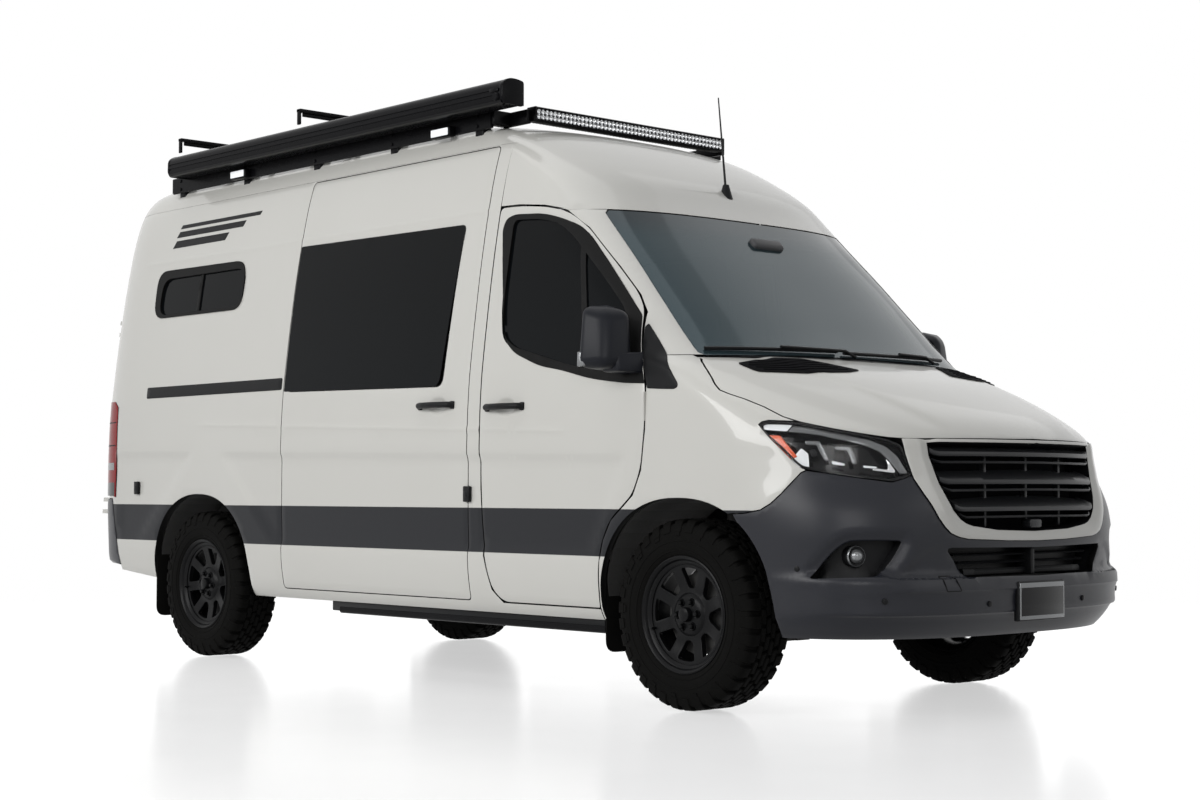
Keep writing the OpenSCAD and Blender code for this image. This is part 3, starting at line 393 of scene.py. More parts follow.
def sideOfTailY(y, z):
    z, w, n, c, square, q = section(pathOf(z))
    lean = np.clip(1 - (w - np.asarray(y)) / bodyShape["tailAcross"], 0, 1)
    corner = sideEnd - bodyShape["cornerSpan"] * np.arccos(lean) / (np.pi / 2)
    flat = sideEnd - bodyShape["cornerSpan"] - (w - bodyShape["tailAcross"] - np.asarray(y))
    return np.where(np.asarray(y) > w - bodyShape["tailAcross"], corner, flat)


def sideOfTailX(x, z):
    # the rear corner drawn in (x, z)
    lean = np.clip(1 - (np.asarray(x) - tailX) / bodyShape["tailAlong"], 0, 1)
    return np.where(np.asarray(x) < sideEnd, sideEnd - bodyShape["cornerSpan"] * np.arcsin(lean) / (np.pi / 2), x)


def ringOfX(x, path):
    z, w, n, c, square, q = section(path)
    x = np.asarray(x, float)
    reach = np.clip((x - c) / (n - c), 0, 1)
    front = bodyShape["frontSpan"] * shareOfAngle(np.arccos(reach ** (square / 2)), square)
    side = bodyShape["frontSpan"] + bodyShape["sideSpan"] * (c - x) / (c - q - bodyShape["tailAlong"])
    return np.where(x > c, front, side)


def mapped(inverse, points):
    # an outline drawn on the van, taken to a map's own lengths
    return [(float(inverse(across, z)), z) for across, z in points]


def dense(points, gap=22.0):
    out = []
    for a, b in zip(points, points[1:]):
        count = max(1, int(round(math.dist(a, b) / gap)))
        for i in range(count):
            out.append((a[0] + (b[0] - a[0]) * i / count, a[1] + (b[1] - a[1]) * i / count))
    return out + [tuple(points[-1])]


def rounded(points, radius):
    # a closed outline with its corners turned into arcs
    out = []
    count = len(points)
    for i, corner in enumerate(points):
        p = Vector(corner[:2])
        before = Vector(points[i - 1][:2])
        after = Vector(points[(i + 1) % count][:2])
        r = corner[2] if len(corner) > 2 else radius
        reach = min(r, (before - p).length * 0.45, (after - p).length * 0.45)
        a = p + (before - p).normalized() * reach
        b = p + (after - p).normalized() * reach
        steps = 6 if reach > 8 else 3
        for k in range(steps + 1):
            t = k / steps
            q = a * (1 - t) ** 2 + p * 2 * t * (1 - t) + b * t * t
            out.append((q.x, q.y))
    return out


def closed(points, gap=22.0):
    ring = dense(list(points) + [points[0]], gap)[:-1]
    keep = [p for i, p in enumerate(ring) if math.dist(p, ring[i - 1]) > 0.8]
    return keep


def area(ring):
    return sum(a[0] * b[1] - b[0] * a[1] for a, b in zip(ring, ring[1:] + ring[:1])) / 2


def grown(ring, distance):
    # every point moves along the outward normal of its corner
    turn = 1 if area(ring) > 0 else -1
    out = []
    for i, p in enumerate(ring):
        a = Vector(ring[i - 1])
        b = Vector(ring[(i + 1) % len(ring)])
        here = Vector(p)
        first = (here - a).normalized()
        second = (b - here).normalized()
        bisector = first + second
        if bisector.length < 1e-6:
            bisector = first
        bisector.normalize()
        spread = max(0.5, bisector.dot(first))
        out.append((p[0] + turn * bisector.y * distance / spread, p[1] - turn * bisector.x * distance / spread))
    return out


def insideRing(points, ring):
    x = points[:, 0][:, None]
    y = points[:, 1][:, None]
    r = np.array(ring)
    n = np.roll(r, -1, axis=0)
    crosses = (r[:, 1] > y) != (n[:, 1] > y)
    level = np.where(n[:, 1] == r[:, 1], 1e-9, n[:, 1] - r[:, 1])
    at = r[:, 0] + (y - r[:, 1]) / level * (n[:, 0] - r[:, 0])
    return (np.sum(crosses & (x < at), axis=1) % 2) == 1


def ringGap(points, ring):
    r = np.array(ring)
    best = np.full(len(points), 1e9)
    for a, b in zip(r, np.roll(r, -1, axis=0)):
        d = b - a
        t = np.clip(((points - a) @ d) / max(1e-9, d @ d), 0, 1)
        best = np.minimum(best, np.linalg.norm(points - a - t[:, None] * d, axis=1))
    return best


def sheetOf(outline, holes, stepU, stepZ, extras=()):
    # a flat sheet of triangles inside an outline, with its holes left open
    ring = list(outline)
    low = np.min(ring, axis=0)
    high = np.max(ring, axis=0)
    us = np.linspace(low[0], high[0], max(2, int((high[0] - low[0]) / stepU) + 1))
    zs = np.linspace(low[1], high[1], max(2, int((high[1] - low[1]) / stepZ) + 1))
    grid = np.stack(np.meshgrid(us, zs), -1).reshape(-1, 2)
    near = min(stepU, stepZ) * 0.45
    extra = np.array(extras, float).reshape(-1, 2)
    if len(extra):
        keep = np.array([np.min(np.sum((extra - g) ** 2, axis=1)) > (near * 1.1) ** 2 for g in grid])
        grid = np.concatenate([grid[keep], extra])
    keep = insideRing(grid, ring) & (ringGap(grid, ring) > near)
    for hole in holes:
        keep &= ~insideRing(grid, hole) & (ringGap(grid, hole) > near)
    grid = grid[keep]
    points = []
    edges = []
    for loop in [ring] + list(holes):
        first = len(points)
        points += [Vector(p) for p in loop]
        edges += [(first + i, first + (i + 1) % len(loop)) for i in range(len(loop))]
    points += [Vector(p) for p in grid]
    flat, _, faces, _, _, _ = delaunay_2d_cdt(points, edges, [], 0, 1e-5)
    flat = np.array([tuple(p) for p in flat])
    faces = np.array([f for f in faces if len(f) == 3])
    middle = flat[faces].mean(axis=1)
    keep = insideRing(middle, ring)
    for hole in holes:
        keep &= ~insideRing(middle, hole)
    return flat, faces[keep]


def laidOn(surface, flat, depth):
    # points of a sheet on the body's skin, sunk by their depth
    u = flat[:, 0]
    v = flat[:, 1]
    here = surface(u, v)
    alongU = surface(u + 0.5, v) - surface(u - 0.5, v)
    alongV = surface(u, v + 0.5) - surface(u, v - 0.5)
    out = np.cross(alongU, alongV)
    size = np.linalg.norm(out, axis=1, keepdims=True)
    out = out / np.where(size < 1e-9, 1, size)
    away = (here - np.array(bodyShape["core"])) * np.array(bodyShape["coreWeight"])
    facing = np.sum(out * away, axis=1, keepdims=True)
    out = out * np.where(facing < 0, -1, 1)
    return here - out * np.asarray(depth)[:, None], out


def freshObject(name, points, faces):
    mesh = bpy.data.meshes.new(name)
    mesh.from_pydata([tuple(p) for p in points], [], [tuple(int(i) for i in f) for f in faces])
    mesh.update()
    made = bpy.data.objects.new(name, mesh)
    bpy.context.collection.objects.link(made)
    return made


def activate(piece):
    bpy.ops.object.select_all(action="DESELECT")
    piece.select_set(True)
    bpy.context.view_layer.objects.active = piece


def addModifier(piece, kind, **settings):
    activate(piece)
    modifier = piece.modifiers.new(kind.title(), kind)
    for label, value in settings.items():
        setattr(modifier, label, value)
    bpy.ops.object.modifier_apply(modifier=modifier.name)


def edited(piece, *steps):
    # mesh operators on the whole of a piece, one after another
    activate(piece)
    bpy.ops.object.mode_set(mode="EDIT")
    for operator, settings in steps:
        bpy.ops.mesh.select_all(action="SELECT")
        operator(**settings)
    bpy.ops.object.mode_set(mode="OBJECT")
    return piece


sameSpot = 0.00002
facingOut = (bpy.ops.mesh.normals_make_consistent, {"inside": False})


def merging(distance):
    return bpy.ops.mesh.remove_doubles, {"threshold": distance}


def bevelling(width, segments):
    return bpy.ops.mesh.bevel, {"offset": width, "segments": segments, "affect": "EDGES", "clamp_overlap": True}


def sizing(size):
    return bpy.ops.transform.resize, {"value": size}


def cleanMesh(piece, merge=sameSpot, outward=True):
    edited(piece, merging(merge), *([facingOut] if outward else []))


def joined(name, pieces):
    bpy.ops.object.select_all(action="DESELECT")
    for piece in pieces:
        piece.select_set(True)
    bpy.context.view_layer.objects.active = pieces[0]
    if len(pieces) > 1:
        bpy.ops.object.join()
    made = bpy.context.view_layer.objects.active
    made.name = name
    made.data.name = name
    return made


def dressed(piece, finish, body="body", standsFor=(), angle=40):
    slots = piece.data.materials
    if len(slots) > 1:
        for i, held in enumerate(slots):
            if i == 0 or held is None:
                slots[i] = finishes[finish]
    else:
        slots.clear()
        slots.append(finishes[finish])
    activate(piece)
    bpy.ops.object.shade_smooth_by_angle(angle=math.radians(angle))
    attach(piece, body)
    if standsFor:
        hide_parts(*standsFor)
    return piece


def skin(name, surface, outline, holes=(), steps=(34, 34), depth=0.0, thick=30.0, edge=2.0, sides=(-1, 1), relief=None,
         extras=()):
    # a panel of the body: a sheet laid on the skin, given its thickness and rounded along its edges
    flat, faces = sheetOf(outline, holes, steps[0], steps[1], extras)
    sunk = np.full(len(flat), float(depth))
    if relief:
        sunk = sunk + relief(flat[:, 0], flat[:, 1])
    points, out = laidOn(surface, flat, sunk)
    a, b, c = [points[faces[:, i]] for i in range(3)]
    facing = np.sum(np.cross(b - a, c - a) * out[faces[:, 0]], axis=1)
    faces = np.where((facing < 0)[:, None], faces[:, ::-1], faces)
    halves = []
    for side in sides:
        placed = points * sideTurn[side]
        half = freshObject(name, toMetres(placed), faces if side > 0 else faces[:, ::-1])
        halves.append(half)
    piece = joined(name, halves)
    cleanMesh(piece, 0.0004, outward=False)
    if thick:
        # the second finish, black rubber, goes on the panel's rim: partly the rubber in the gaps, partly painted shade
        # on the panel edges in gaps and arches
        piece.data.materials.append(finishes["paint"])
        piece.data.materials.append(finishes["sealAndGapShade"])
        addModifier(piece, "SOLIDIFY", thickness=thick / 1000, offset=-1.0, use_even_offset=False,
                    material_offset_rim=1)
    if edge:
        addModifier(piece, "BEVEL", width=edge / 1000, segments=2, limit_method="ANGLE", angle_limit=math.radians(52),
                    harden_normals=False, use_clamp_overlap=True)
    return piece


def ramp(value, low, high):
    t = np.clip((value - low) / (high - low), 0, 1)
    return t * t * (3 - 2 * t)


# pressings of the sides: the long crease, the hollow below it and the bowls behind the handles
pressings = {
    "hollowDepth": 11.0,
    "hollowTop": (-595, 1049, -0.0175),
    "hollowFront": (-282, 1022, 119 / 223),
    "hollowRear": (-3480, 1109, 275 / 249),
    "hollowTail": (-3690, 1112, -288 / 244),
    "crease": (-634, 1148, -0.0327),
    "creaseHeight": 3.5,
    "roofCrease": 2186,
    "bowls": [(-1575, 1285), (-1083, 1265)],
    "bowlSize": (74, 44),
    "bowlDepth": 17.0,
}


def slanted(line, x):
    return line[1] + line[2] * (x - line[0])


def hollowEdges(z):
    p = pressings
    front = p["hollowFront"][0] - (p["hollowFront"][1] - z) * p["hollowFront"][2]
    rear = p["hollowRear"][0] + (p["hollowRear"][1] - z) * p["hollowRear"][2]
    tail = p["hollowTail"][0] + (p["hollowTail"][1] - z) * p["hollowTail"][2]
    return front, rear, tail


def sideRelief(x, z):
    p = pressings
    front, rear, tail = hollowEdges(z)
    top = slanted(p["hollowTop"], x)
    hollow = ramp(top - z, -4, 40) * ramp(z, 600, 650)
    ahead = ramp(front - x, 0, 60) * ramp(x - rear, 0, 60)
    behind = ramp(tail - x, 0, 60) * ramp(x, tailX + 300, tailX + 380)
    depth = p["hollowDepth"] * hollow * np.maximum(ahead, behind)
    crease = slanted(p["crease"], x)
    fade = ramp(-x, 560, 760) * ramp(x, -3760, -3560)
    depth = depth - p["creaseHeight"] * fade * np.exp(-((z - crease) / 8) ** 2)
    upper = ramp(-x, 1290, 1330) * ramp(x, tailX + 380, tailX + 460)
    depth = depth - 3.0 * upper * np.exp(-((z - p["roofCrease"]) / 9) ** 2)
    return depth


def handleRelief(x, z):
    depth = sideRelief(x, z)
    for cx, cz in pressings["bowls"]:
        r2 = ((x - cx) / pressings["bowlSize"][0]) ** 2 + ((z - cz) / pressings["bowlSize"][1]) ** 2
        depth = depth + pressings["bowlDepth"] * np.clip(1 - r2, 0, 1) ** 1.6
    return depth


def reliefPoints(x0, x1, bowls=()):
    # rows of points that keep the pressings crisp
    p = pressings
    out = []
    for x in np.arange(x0, x1, 38.0):
        if -3760 < x < -560:
            out += [(x, slanted(p["crease"], x) + d) for d in (-16, -8, 0, 8, 16)]
        out += [(x, slanted(p["hollowTop"], x) + d) for d in (6, -8, -22, -42)]
        if x < -1290:
            out += [(x, p["roofCrease"] + d) for d in (-18, -9, 0, 9, 18)]
    for cx, cz in bowls:
        for r in (0.0, 0.3, 0.55, 0.75, 0.9, 1.0, 1.12):
            for k in range(24):
                a = k * math.pi / 12 + r
                out.append((cx + pressings["bowlSize"][0] * r * math.cos(a),
                            cz + pressings["bowlSize"][1] * r * math.sin(a)))
    return out


# outlines seen from the side
def archRing(x, rearA, frontA, b, start, end, count=40):
    out = []
    for i in range(count + 1):
        t = math.radians(start + (end - start) * i / count)
        c = math.cos(t)
        s = math.sin(t)
        a = rearA if c < 0 else frontA
        out.append((x + 8 + a * math.copysign(abs(c) ** 0.89, c), axleZ + 10 + b * math.copysign(abs(s) ** 0.89, s)))
    return out


gap = 3.0
doorRing = closed(rounded([
    (-1262, 2188, 30), (-1129, 2185, 60), (-951, 2164, 80), (-830, 2137, 60), (-764, 2108, 60), (-670, 2046, 60),
    (-463, 1858, 90), (-330, 1728, 60), (-272, 1650, 60), (-185, 1330, 120), (-185, 1142, 90), (-206, 978, 60),
    (-256, 875, 40), (-318, 826, 40), (-390, 770, 50), (-442, 685, 50), (-470, 592, 60), (-484, 395, 8),
    (-1120, 395, 40), (-1190, 450, 60), (-1235, 600, 80), (-1258, 900, 120), (-1262, 1300, 120)], 20))
doorWindowRing = closed(rounded([
    (-1166, 2136, 55), (-960, 2120, 90), (-840, 2090, 60), (-770, 2052, 60), (-700, 2000, 60), (-492, 1812, 90),
    (-372, 1694, 60), (-330, 1640, 50), (-262, 1372, 20), (-290, 1362, 20), (-640, 1412, 120), (-1060, 1520, 70),
    (-1140, 1575, 70), (-1168, 1720, 80)], 20))
sliderRing = closed(rounded([(-2868, 395), (-1350, 395), (-1350, 2494), (-2868, 2494)], 25))
bigWindowRing = closed(rounded([(-2846, 1394), (-1545, 1372), (-1500, 2134), (-2846, 2144)], 52))
bunkRing = closed(rounded([(rearAxle - 565, 1866), (rearAxle + 305, 1866), (rearAxle + 305, 2098),
                           (rearAxle - 565, 2098)], 95))
hoodEdge = [(-14, 1447), (31, 1437), (75, 1410), (116, 1380), (152, 1350), (182, 1322), (214, 1298), (260, 1281),
            (330, 1259), (418, 1225), (503, 1184), (569, 1163), (671, 1138), (761, 1117), (830, 1102), (870, 1097),
            (930, 1099), (1000, 1101), (1036, 1101)]
lampRing = [(424, 1150), (434, 1161), (455, 1167), (569, 1158), (671, 1133), (761, 1112), (830, 1093), (862, 1073),
            (881, 1026), (903, 955), (886, 940), (865, 927), (840, 932), (758, 948), (668, 965), (606, 980),
            (579, 1002), (524, 1058)]
frontArch = archRing(0, 480, 498, 464, 0, 180)
rearArch = archRing(rearAxle, 484, 484, 474, 180, 0)


def tailEdge(z):
    # y of the outer edge of the rear doors
    return 868 - 0.0933 * (z - 606)


def frontFaceRing(points, gapLength=22.0):
    # the right half of an outline drawn in (y, z), taken to the front map
    return mapped(frontOfY, dense(points, gapLength))


def tidyRing(ring, least=0.9):
    out = []
    for p in ring:
        if not out or math.dist(p, out[-1]) > least:
            out.append(p)
    while math.dist(out[0], out[-1]) < least:
        out.pop()
    return out


# front doors
doorSettings = {"thick": 42.0, "edge": 2.5, "steps": (34, 34)}
for side, word in sideWords:
    ring = tidyRing(grown(doorRing, -gap))
    bowls = [pressings["bowls"][1]]
    extras = reliefPoints(-1262, -200, bowls)
    made = skin("frontDoor." + word, sideMap, ring, holes=[doorWindowRing], steps=doorSettings["steps"],
                thick=doorSettings["thick"], edge=doorSettings["edge"], sides=(side,), relief=handleRelief,
                extras=extras)
    dressed(made, "paintBand", "front_door_" + word, ["front_door_" + word])
    made = skin("doorGlass." + word, sideMap, tidyRing(grown(doorWindowRing, -1.0)), steps=(60, 60), depth=9.0,
                thick=6.0, edge=0.0, sides=(side,))
    dressed(made, "darkGlass", "front_door_" + word, ["door_glass_" + word])
print("front doors")

# body sides
sillLow = 345
rearEdgePath = [(float(sideOfTailY(tailEdge(z) + 4, z)), z) for z in np.linspace(2490, 1413, 40)]
lampEdgePath = mapped(sideOfTailX, dense([(tailX + 20, 1412), (tailX + 120, 1406), (tailX + 167, 1331),
                                          (tailX + 207, 1000), (tailX + 177, 850)]))
bumperEdgePath = mapped(sideOfTailX, dense([(tailX + 251, 847), (tailX + 301, 620), (tailX + 341, 442)]))
doorRear = [(-1124, 391), (-1194, 448), (-1239, 600), (-1262, 900), (-1266, 1300), (-1266, 2192)]
sidePath = ([(-1262, 2500), (sideEnd, 2500)] + [(float(sideOfTailY(tailEdge(2490) + 4, 2490)), 2498)] + rearEdgePath
            + lampEdgePath + bumperEdgePath + [(-4141, 409)] + rearArch + [(-3173, sillLow), (-486, sillLow),
                                                                           (-486, 391)]
            + doorRear)
sideRing = tidyRing(closed(sidePath))
sideSettings = {"thick": 40.0, "edge": 2.0, "steps": (40, 40)}
for side, word in sideWords:
    holes = [bunkRing, tidyRing(grown(sliderRing, 2.0))] if side < 0 else [bunkRing, bigWindowRing]
    made = skin("bodySide." + word, sideMap, sideRing, holes=holes, steps=sideSettings["steps"],
                thick=sideSettings["thick"], edge=sideSettings["edge"], sides=(side,), relief=sideRelief,
                extras=reliefPoints(tailX + 300, -1262))
    dressed(made, "paintBand", "body", ["body_side_" + word])
ring = tidyRing(grown(sliderRing, -3.0))
made = skin("slidingDoor", sideMap, ring, holes=[bigWindowRing], steps=sideSettings["steps"], thick=42.0, edge=2.5,
            sides=(-1,), relief=handleRelief, extras=reliefPoints(-2868, -1350, [pressings["bowls"][0]]))
dressed(made, "paintBand", "body", ["sliding_door"])
bigGlassRing = closed(rounded([(-2860, 1398, 8), (-1572, 1374, 56), (-1497, 2134, 34), (-2862, 2152, 8)], 30))
bigGlass = skin("bigGlass", sideMap, bigGlassRing, steps=(80, 80), depth=-1.5, thick=4.0, edge=1.0)
bunkGlass = skin("bunkGlass", sideMap, tidyRing(grown(bunkRing, -1.0)), steps=(80, 80), depth=8.0, thick=6.0, edge=0.0)
dressed(joined("sideWindows", [bigGlass, bunkGlass]), "darkGlass", "body", ["side_windows"])
print("body sides")

# roof
pathAtTop = float(rowPath[-1])
roofLow = [(-800, 2131), (-840, 2145), (-951, 2170), (-1129, 2191), (-1262, 2196)]
roofRing = [(0.0, float(pathOf(2131)))]
roofRing += [(float(frontOfY(y, 2131)), float(pathOf(2131))) for y in np.linspace(30, 800, 30)]
roofRing += [(float(ringOfX(x, pathOf(z))), float(pathOf(z))) for x, z in dense(roofLow)]
roofRing += [(float(ringOfX(-1262, pathOf(z))), float(pathOf(z))) for z in np.linspace(2210, 2501, 14)]
ringEnd = bodyShape["frontSpan"] + bodyShape["sideSpan"] + bodyShape["cornerSpan"] + bodyShape["rearSpan"]
roofRing += [(u, float(pathOf(2501))) for u in np.linspace(float(ringOfX(-1262, pathOf(2501))) + 25, ringEnd, 120)]
roofRing += [(ringEnd, p) for p in np.linspace(float(pathOf(2501)) + 25, pathAtTop, 26)]
roofRing += [(u, pathAtTop) for u in np.linspace(ringEnd - 25, 0, 150)]
roofRing += [(0.0, p) for p in np.linspace(pathAtTop - 25, float(pathOf(2131)) + 25, 60)]
roofSettings = {"steps": (42, 24), "thick": 0.0}
made = skin("roofPanel", ringMap, tidyRing(roofRing), steps=roofSettings["steps"], thick=roofSettings["thick"],
            edge=0.0)
dressed(made, "paint", "body", ["roof_panel"])
print("roof")

# windscreen, its pillars and the panel below it
screenEdge = [(850, 1453), (862, 1462), (788, 2112), (768, 2127)]
screenPath = [(0, 1468), (400, 1464), (640, 1457)] + screenEdge + [(0, 2127)]
screenRing = tidyRing(frontFaceRing(screenPath) + [(0.0, z) for z in np.linspace(2100, 1490, 28)])
made = skin("windscreen", frontMap, screenRing, steps=(36, 36), depth=3.0, thick=6.0, edge=0.0)
dressed(made, "screenGlass", "body", ["windshield"])
pillarOuter = [(-214, 1452), (-262, 1643), (-323, 1722), (-457, 1853), (-665, 2041), (-760, 2103), (-800, 2130)]


def screenX(y, z):
    return float(frontMap(np.array([frontOfY(y, z)]), np.array([z]))[0][0])


pillarInner = [(screenX(y + 2, z), z) for y, z in dense([(770, 2129), (788, 2112), (862, 1462), (852, 1452)])]
made = skin("pillars", sideMap, tidyRing(closed(pillarOuter + pillarInner, 20)), steps=(18, 26), thick=35.0, edge=2.0)
dressed(made, "paint", "body", ["cab_frame"])
cowlPath = [(0, 1451), (400, 1451), (846, 1451), (846, 1453), (640, 1456), (400, 1463), (0, 1467)]
cowlRing = tidyRing(frontFaceRing(cowlPath))
made = skin("cowl", frontMap, cowlRing, steps=(30, 8), depth=6.0, thick=20.0, edge=0.0)
dressed(made, "trim")
print("windscreen")

# bonnet with a raised middle
hoodSettings = {"rise": 9.0, "front": 430, "rear": 660, "blend": 70}


def hoodRelief(u, z):
    spread = frontMap(u, z)[:, 1]
    h = hoodSettings
    edge = h["front"] + (h["rear"] - h["front"]) * np.clip((z - 1100) / 340, 0, 1)
    return -h["rise"] * ramp(edge - spread, 0, h["blend"]) * ramp(z, 1104, 1180) + h["rise"] * 0.5


hoodPath = [(float(frontOfX(x + 3, z - 2)), z) for x, z in dense(hoodEdge, 18)]
hoodPath = [(u, z) for u, z in hoodPath if u > 6]
hoodRing = hoodPath + [(0.0, 1103.0)] + [(0.0, z) for z in np.linspace(1120, 1442, 16)]
hoodRing += [(u, 1444.0) for u in np.linspace(20, hoodPath[0][0] - 20, 40)]
made = skin("bonnet", frontMap, tidyRing(hoodRing), steps=(22, 14), thick=26.0, edge=3.0, relief=hoodRelief)
dressed(made, "paint", "hood", ["hood"])
print("bonnet")

# wings
wingPath = [(-214, 1449), (-18, 1449), (28, 1432), (71, 1406), (112, 1376), (148, 1346), (178, 1318), (211, 1293),
            (258, 1276), (328, 1254), (416, 1220), (500, 1180), (545, 1164), (455, 1169), (433, 1163), (422, 1151),
            (523, 1056), (578, 1000), (604, 979), (619, 972), (604, 963), (572, 920), (542, 882), (503, 845),
            (456, 820), (382, 807), (306, 804)]
archPart = [p for p in frontArch if p[0] < 296]
wingPath += archPart + [(-472, sillLow), (-481, sillLow), (-480, 395), (-466, 592), (-438, 683), (-386, 767),
                        (-315, 822), (-252, 872), (-202, 977), (-181, 1142), (-181, 1330)]
made = skin("wings", sideMap, tidyRing(closed(wingPath, 18)), steps=(26, 26), thick=30.0, edge=2.0, relief=sideRelief)
dressed(made, "paintBand", "body", ["fenders"])
print("wings")

# front bumper, grille surround and the openings
surroundOut = [(0, 694), (192, 697), (420, 706), (465, 714), (503, 728), (530, 752), (556, 788), (600, 880), (621, 940),
               (634, 1030), (640, 1092)]
grilleIn = [(545, 1080), (543, 1030), (519, 922), (500, 868), (477, 818), (446, 783), (415, 765), (380, 755),
            (238, 738), (0, 731)]
intakePath = [(0, 667), (237, 670), (494, 673), (510, 669), (512, 657), (446, 575), (428, 563), (380, 560), (0, 553)]
fogPath = [(955, 556, 10), (938, 583, 20), (921, 629, 30), (899, 671, 30), (871, 700, 24), (797, 702, 30),
           (703, 699, 10), (731, 639, 40), (768, 587, 30), (800, 566, 20), (895, 561, 30)]
lampLowEdge = [(902, 950), (886, 936), (865, 923), (840, 928), (758, 944), (668, 961), (623, 968)]
wingSeam = [(607, 959), (575, 916), (545, 878), (505, 840), (457, 815), (383, 802), (318, 799)]
intakeHalf = [(max(u, 0.0), z) for u, z in frontFaceRing(intakePath)]
fogHole = tidyRing(mapped(frontOfY, closed(rounded(fogPath, 26), 18)))
bumperRing = [(0.0, z) for z in np.linspace(322, 540, 10)] + intakeHalf[::-1] + [(0.0, 690.0)]
bumperRing += [(float(frontOfY(y, z)), z - 2.5) for y, z in dense(surroundOut[:9], 18)][1:]
bumperRing += mapped(frontOfX, dense(lampLowEdge + wingSeam, 18))
bumperRing += mapped(frontOfX, archRing(0, 480, 498, 464, 51, 0, 26))
bumperRing += [(float(frontOfX(505, 350)), 350.0), (float(frontOfX(500, 322)), 322.0)]
bumperRing += [(u, 322.0) for u in np.linspace(float(frontOfX(500, 322)) - 25, 25, 34)]


def wallOf(name, surface, ring, top, low, sides=(-1, 1), lid=True, steps=(40, 40)):
    # a pocket in the skin: a wall down from the outline and a floor at its foot
    flat, faces = sheetOf(ring, [], steps[0], steps[1])
    under, out = laidOn(surface, flat, np.full(len(flat), float(low)))
    loop = np.array(ring)
    upper, _ = laidOn(surface, loop, np.full(len(loop), float(top)))
    lower, _ = laidOn(surface, loop, np.full(len(loop), float(low)))
    count = len(loop)
    wallFaces = []
    for i in range(count):
        k = (i + 1) % count
        if abs(loop[i][0]) < 0.5 and abs(loop[k][0]) < 0.5:
            continue
        wallFaces.append((i, k, k + count, i + count))
    made = []
    for side in sides:
        turn = sideTurn[side]
        made.append(freshObject(name, toMetres(np.concatenate([upper, lower]) * turn), wallFaces))
        if lid:
            made.append(freshObject(name, toMetres(under * turn), faces))
    piece = joined(name, made)
    cleanMesh(piece, 0.0003)
    return piece


def roundedBox(name, size, centre, edge, segments=2, turn=(0, 0, 0)):
    # a block in millimetres with its edges bevelled
    bpy.ops.mesh.primitive_cube_add(size=1)
    piece = bpy.context.object
    piece.name = name
    piece.data.name = name
    edited(piece, sizing([v / 1000 for v in size]), *([bevelling(edge / 1000, segments)] if edge else []))
    shift = Vector(toMetres([centre])[0])
    spin = Matrix.Rotation(math.radians(turn[2]), 4, "Z") @ Matrix.Rotation(math.radians(turn[1]), 4, "Y")
    spin = spin @ Matrix.Rotation(math.radians(turn[0]), 4, "X")
    piece.data.transform(Matrix.Translation(shift) @ spin)
    return piece


def extruded(name, profile, reach, edge=0.0):
    # a closed outline in three dimensions, drawn out along one direction
    piece = freshObject(name, toMetres(profile), [range(len(profile))])
    move = {"TRANSFORM_OT_translate": {"value": [v / 1000 for v in reach]}}
    edited(piece, (bpy.ops.mesh.extrude_region_move, move), facingOut)
    if edge:
        addModifier(piece, "BEVEL", width=edge / 1000, segments=2, limit_method="ANGLE", angle_limit=math.radians(50))
    return piece


def tubeAlong(name, points, radius, smooth=False, sides=8):
    curve = bpy.data.curves.new(name, "CURVE")
    curve.dimensions = "3D"
    curve.bevel_depth = radius / 1000
    curve.bevel_resolution = max(1, sides // 4)
    curve.use_fill_caps = True
    if smooth:
        line = curve.splines.new("NURBS")
        line.use_endpoint_u = True
        line.order_u = 3
    else:
        line = curve.splines.new("POLY")
    line.points.add(len(points) - 1)
    for spot, place in zip(line.points, toMetres(points)):
        spot.co = (*place, 1)
    line.resolution_u = 6
    piece = bpy.data.objects.new(name, curve)
    bpy.context.collection.objects.link(piece)
    activate(piece)
    bpy.ops.object.convert(target="MESH")
    made = bpy.context.object
    made.data.name = name
    return made


def spun(name, profile, steps=48):
    # a profile of (radius, along) turned about the y axis, in millimetres
    points = [(r / 1000, a / 1000, 0) for r, a in profile]
    mesh = bpy.data.meshes.new(name)
    mesh.from_pydata(points, [(i, i + 1) for i in range(len(points) - 1)], [])
    piece = bpy.data.objects.new(name, mesh)
    bpy.context.collection.objects.link(piece)
    turn = {"steps": steps, "angle": math.tau, "center": (0, 0, 0), "axis": (0, 1, 0)}
    return edited(piece, (bpy.ops.mesh.spin, turn), merging(sameSpot), facingOut)


def aimed(piece, place, direction):
    # moves a piece made about the y axis to a place, with +y along a direction
    way = Vector(direction).normalized()
    turn = Vector((0, 1, 0)).rotation_difference(way).to_matrix().to_4x4()
    piece.data.transform(Matrix.Translation(Vector(toMetres([place])[0])) @ turn)
    return piece


def copyOf(piece, name):
    made = piece.copy()
    made.data = piece.data.copy()
    made.name = name
    made.data.name = name
    bpy.context.collection.objects.link(made)
    return made


def flipped(piece):
    # turns a piece over to the other side of the van
    piece.data.transform(Matrix.Scale(-1, 4, Vector((0, 1, 0))))
    piece.data.flip_normals()
    return piece


def mirroredCopy(piece, name):
    # the same piece on the other side of the van
    return flipped(copyOf(piece, name))


def bothSides(piece):
    return joined(piece.name, [piece, mirroredCopy(piece, piece.name)])


def onSkin(surface, u, v, depth=0.0):
    flat = np.array([[float(u), float(v)]])
    place, out = laidOn(surface, flat, np.array([float(depth)]))
    return place[0], out[0]


def onFront(y, z, depth=0.0):
    # a place on the front and the way out of it there; a negative y is on the right
    place, out = onSkin(frontMap, frontOfY(abs(y), z), z, depth)
    turn = sideTurn[-1 if y < 0 else 1]
    return place * turn, out * turn


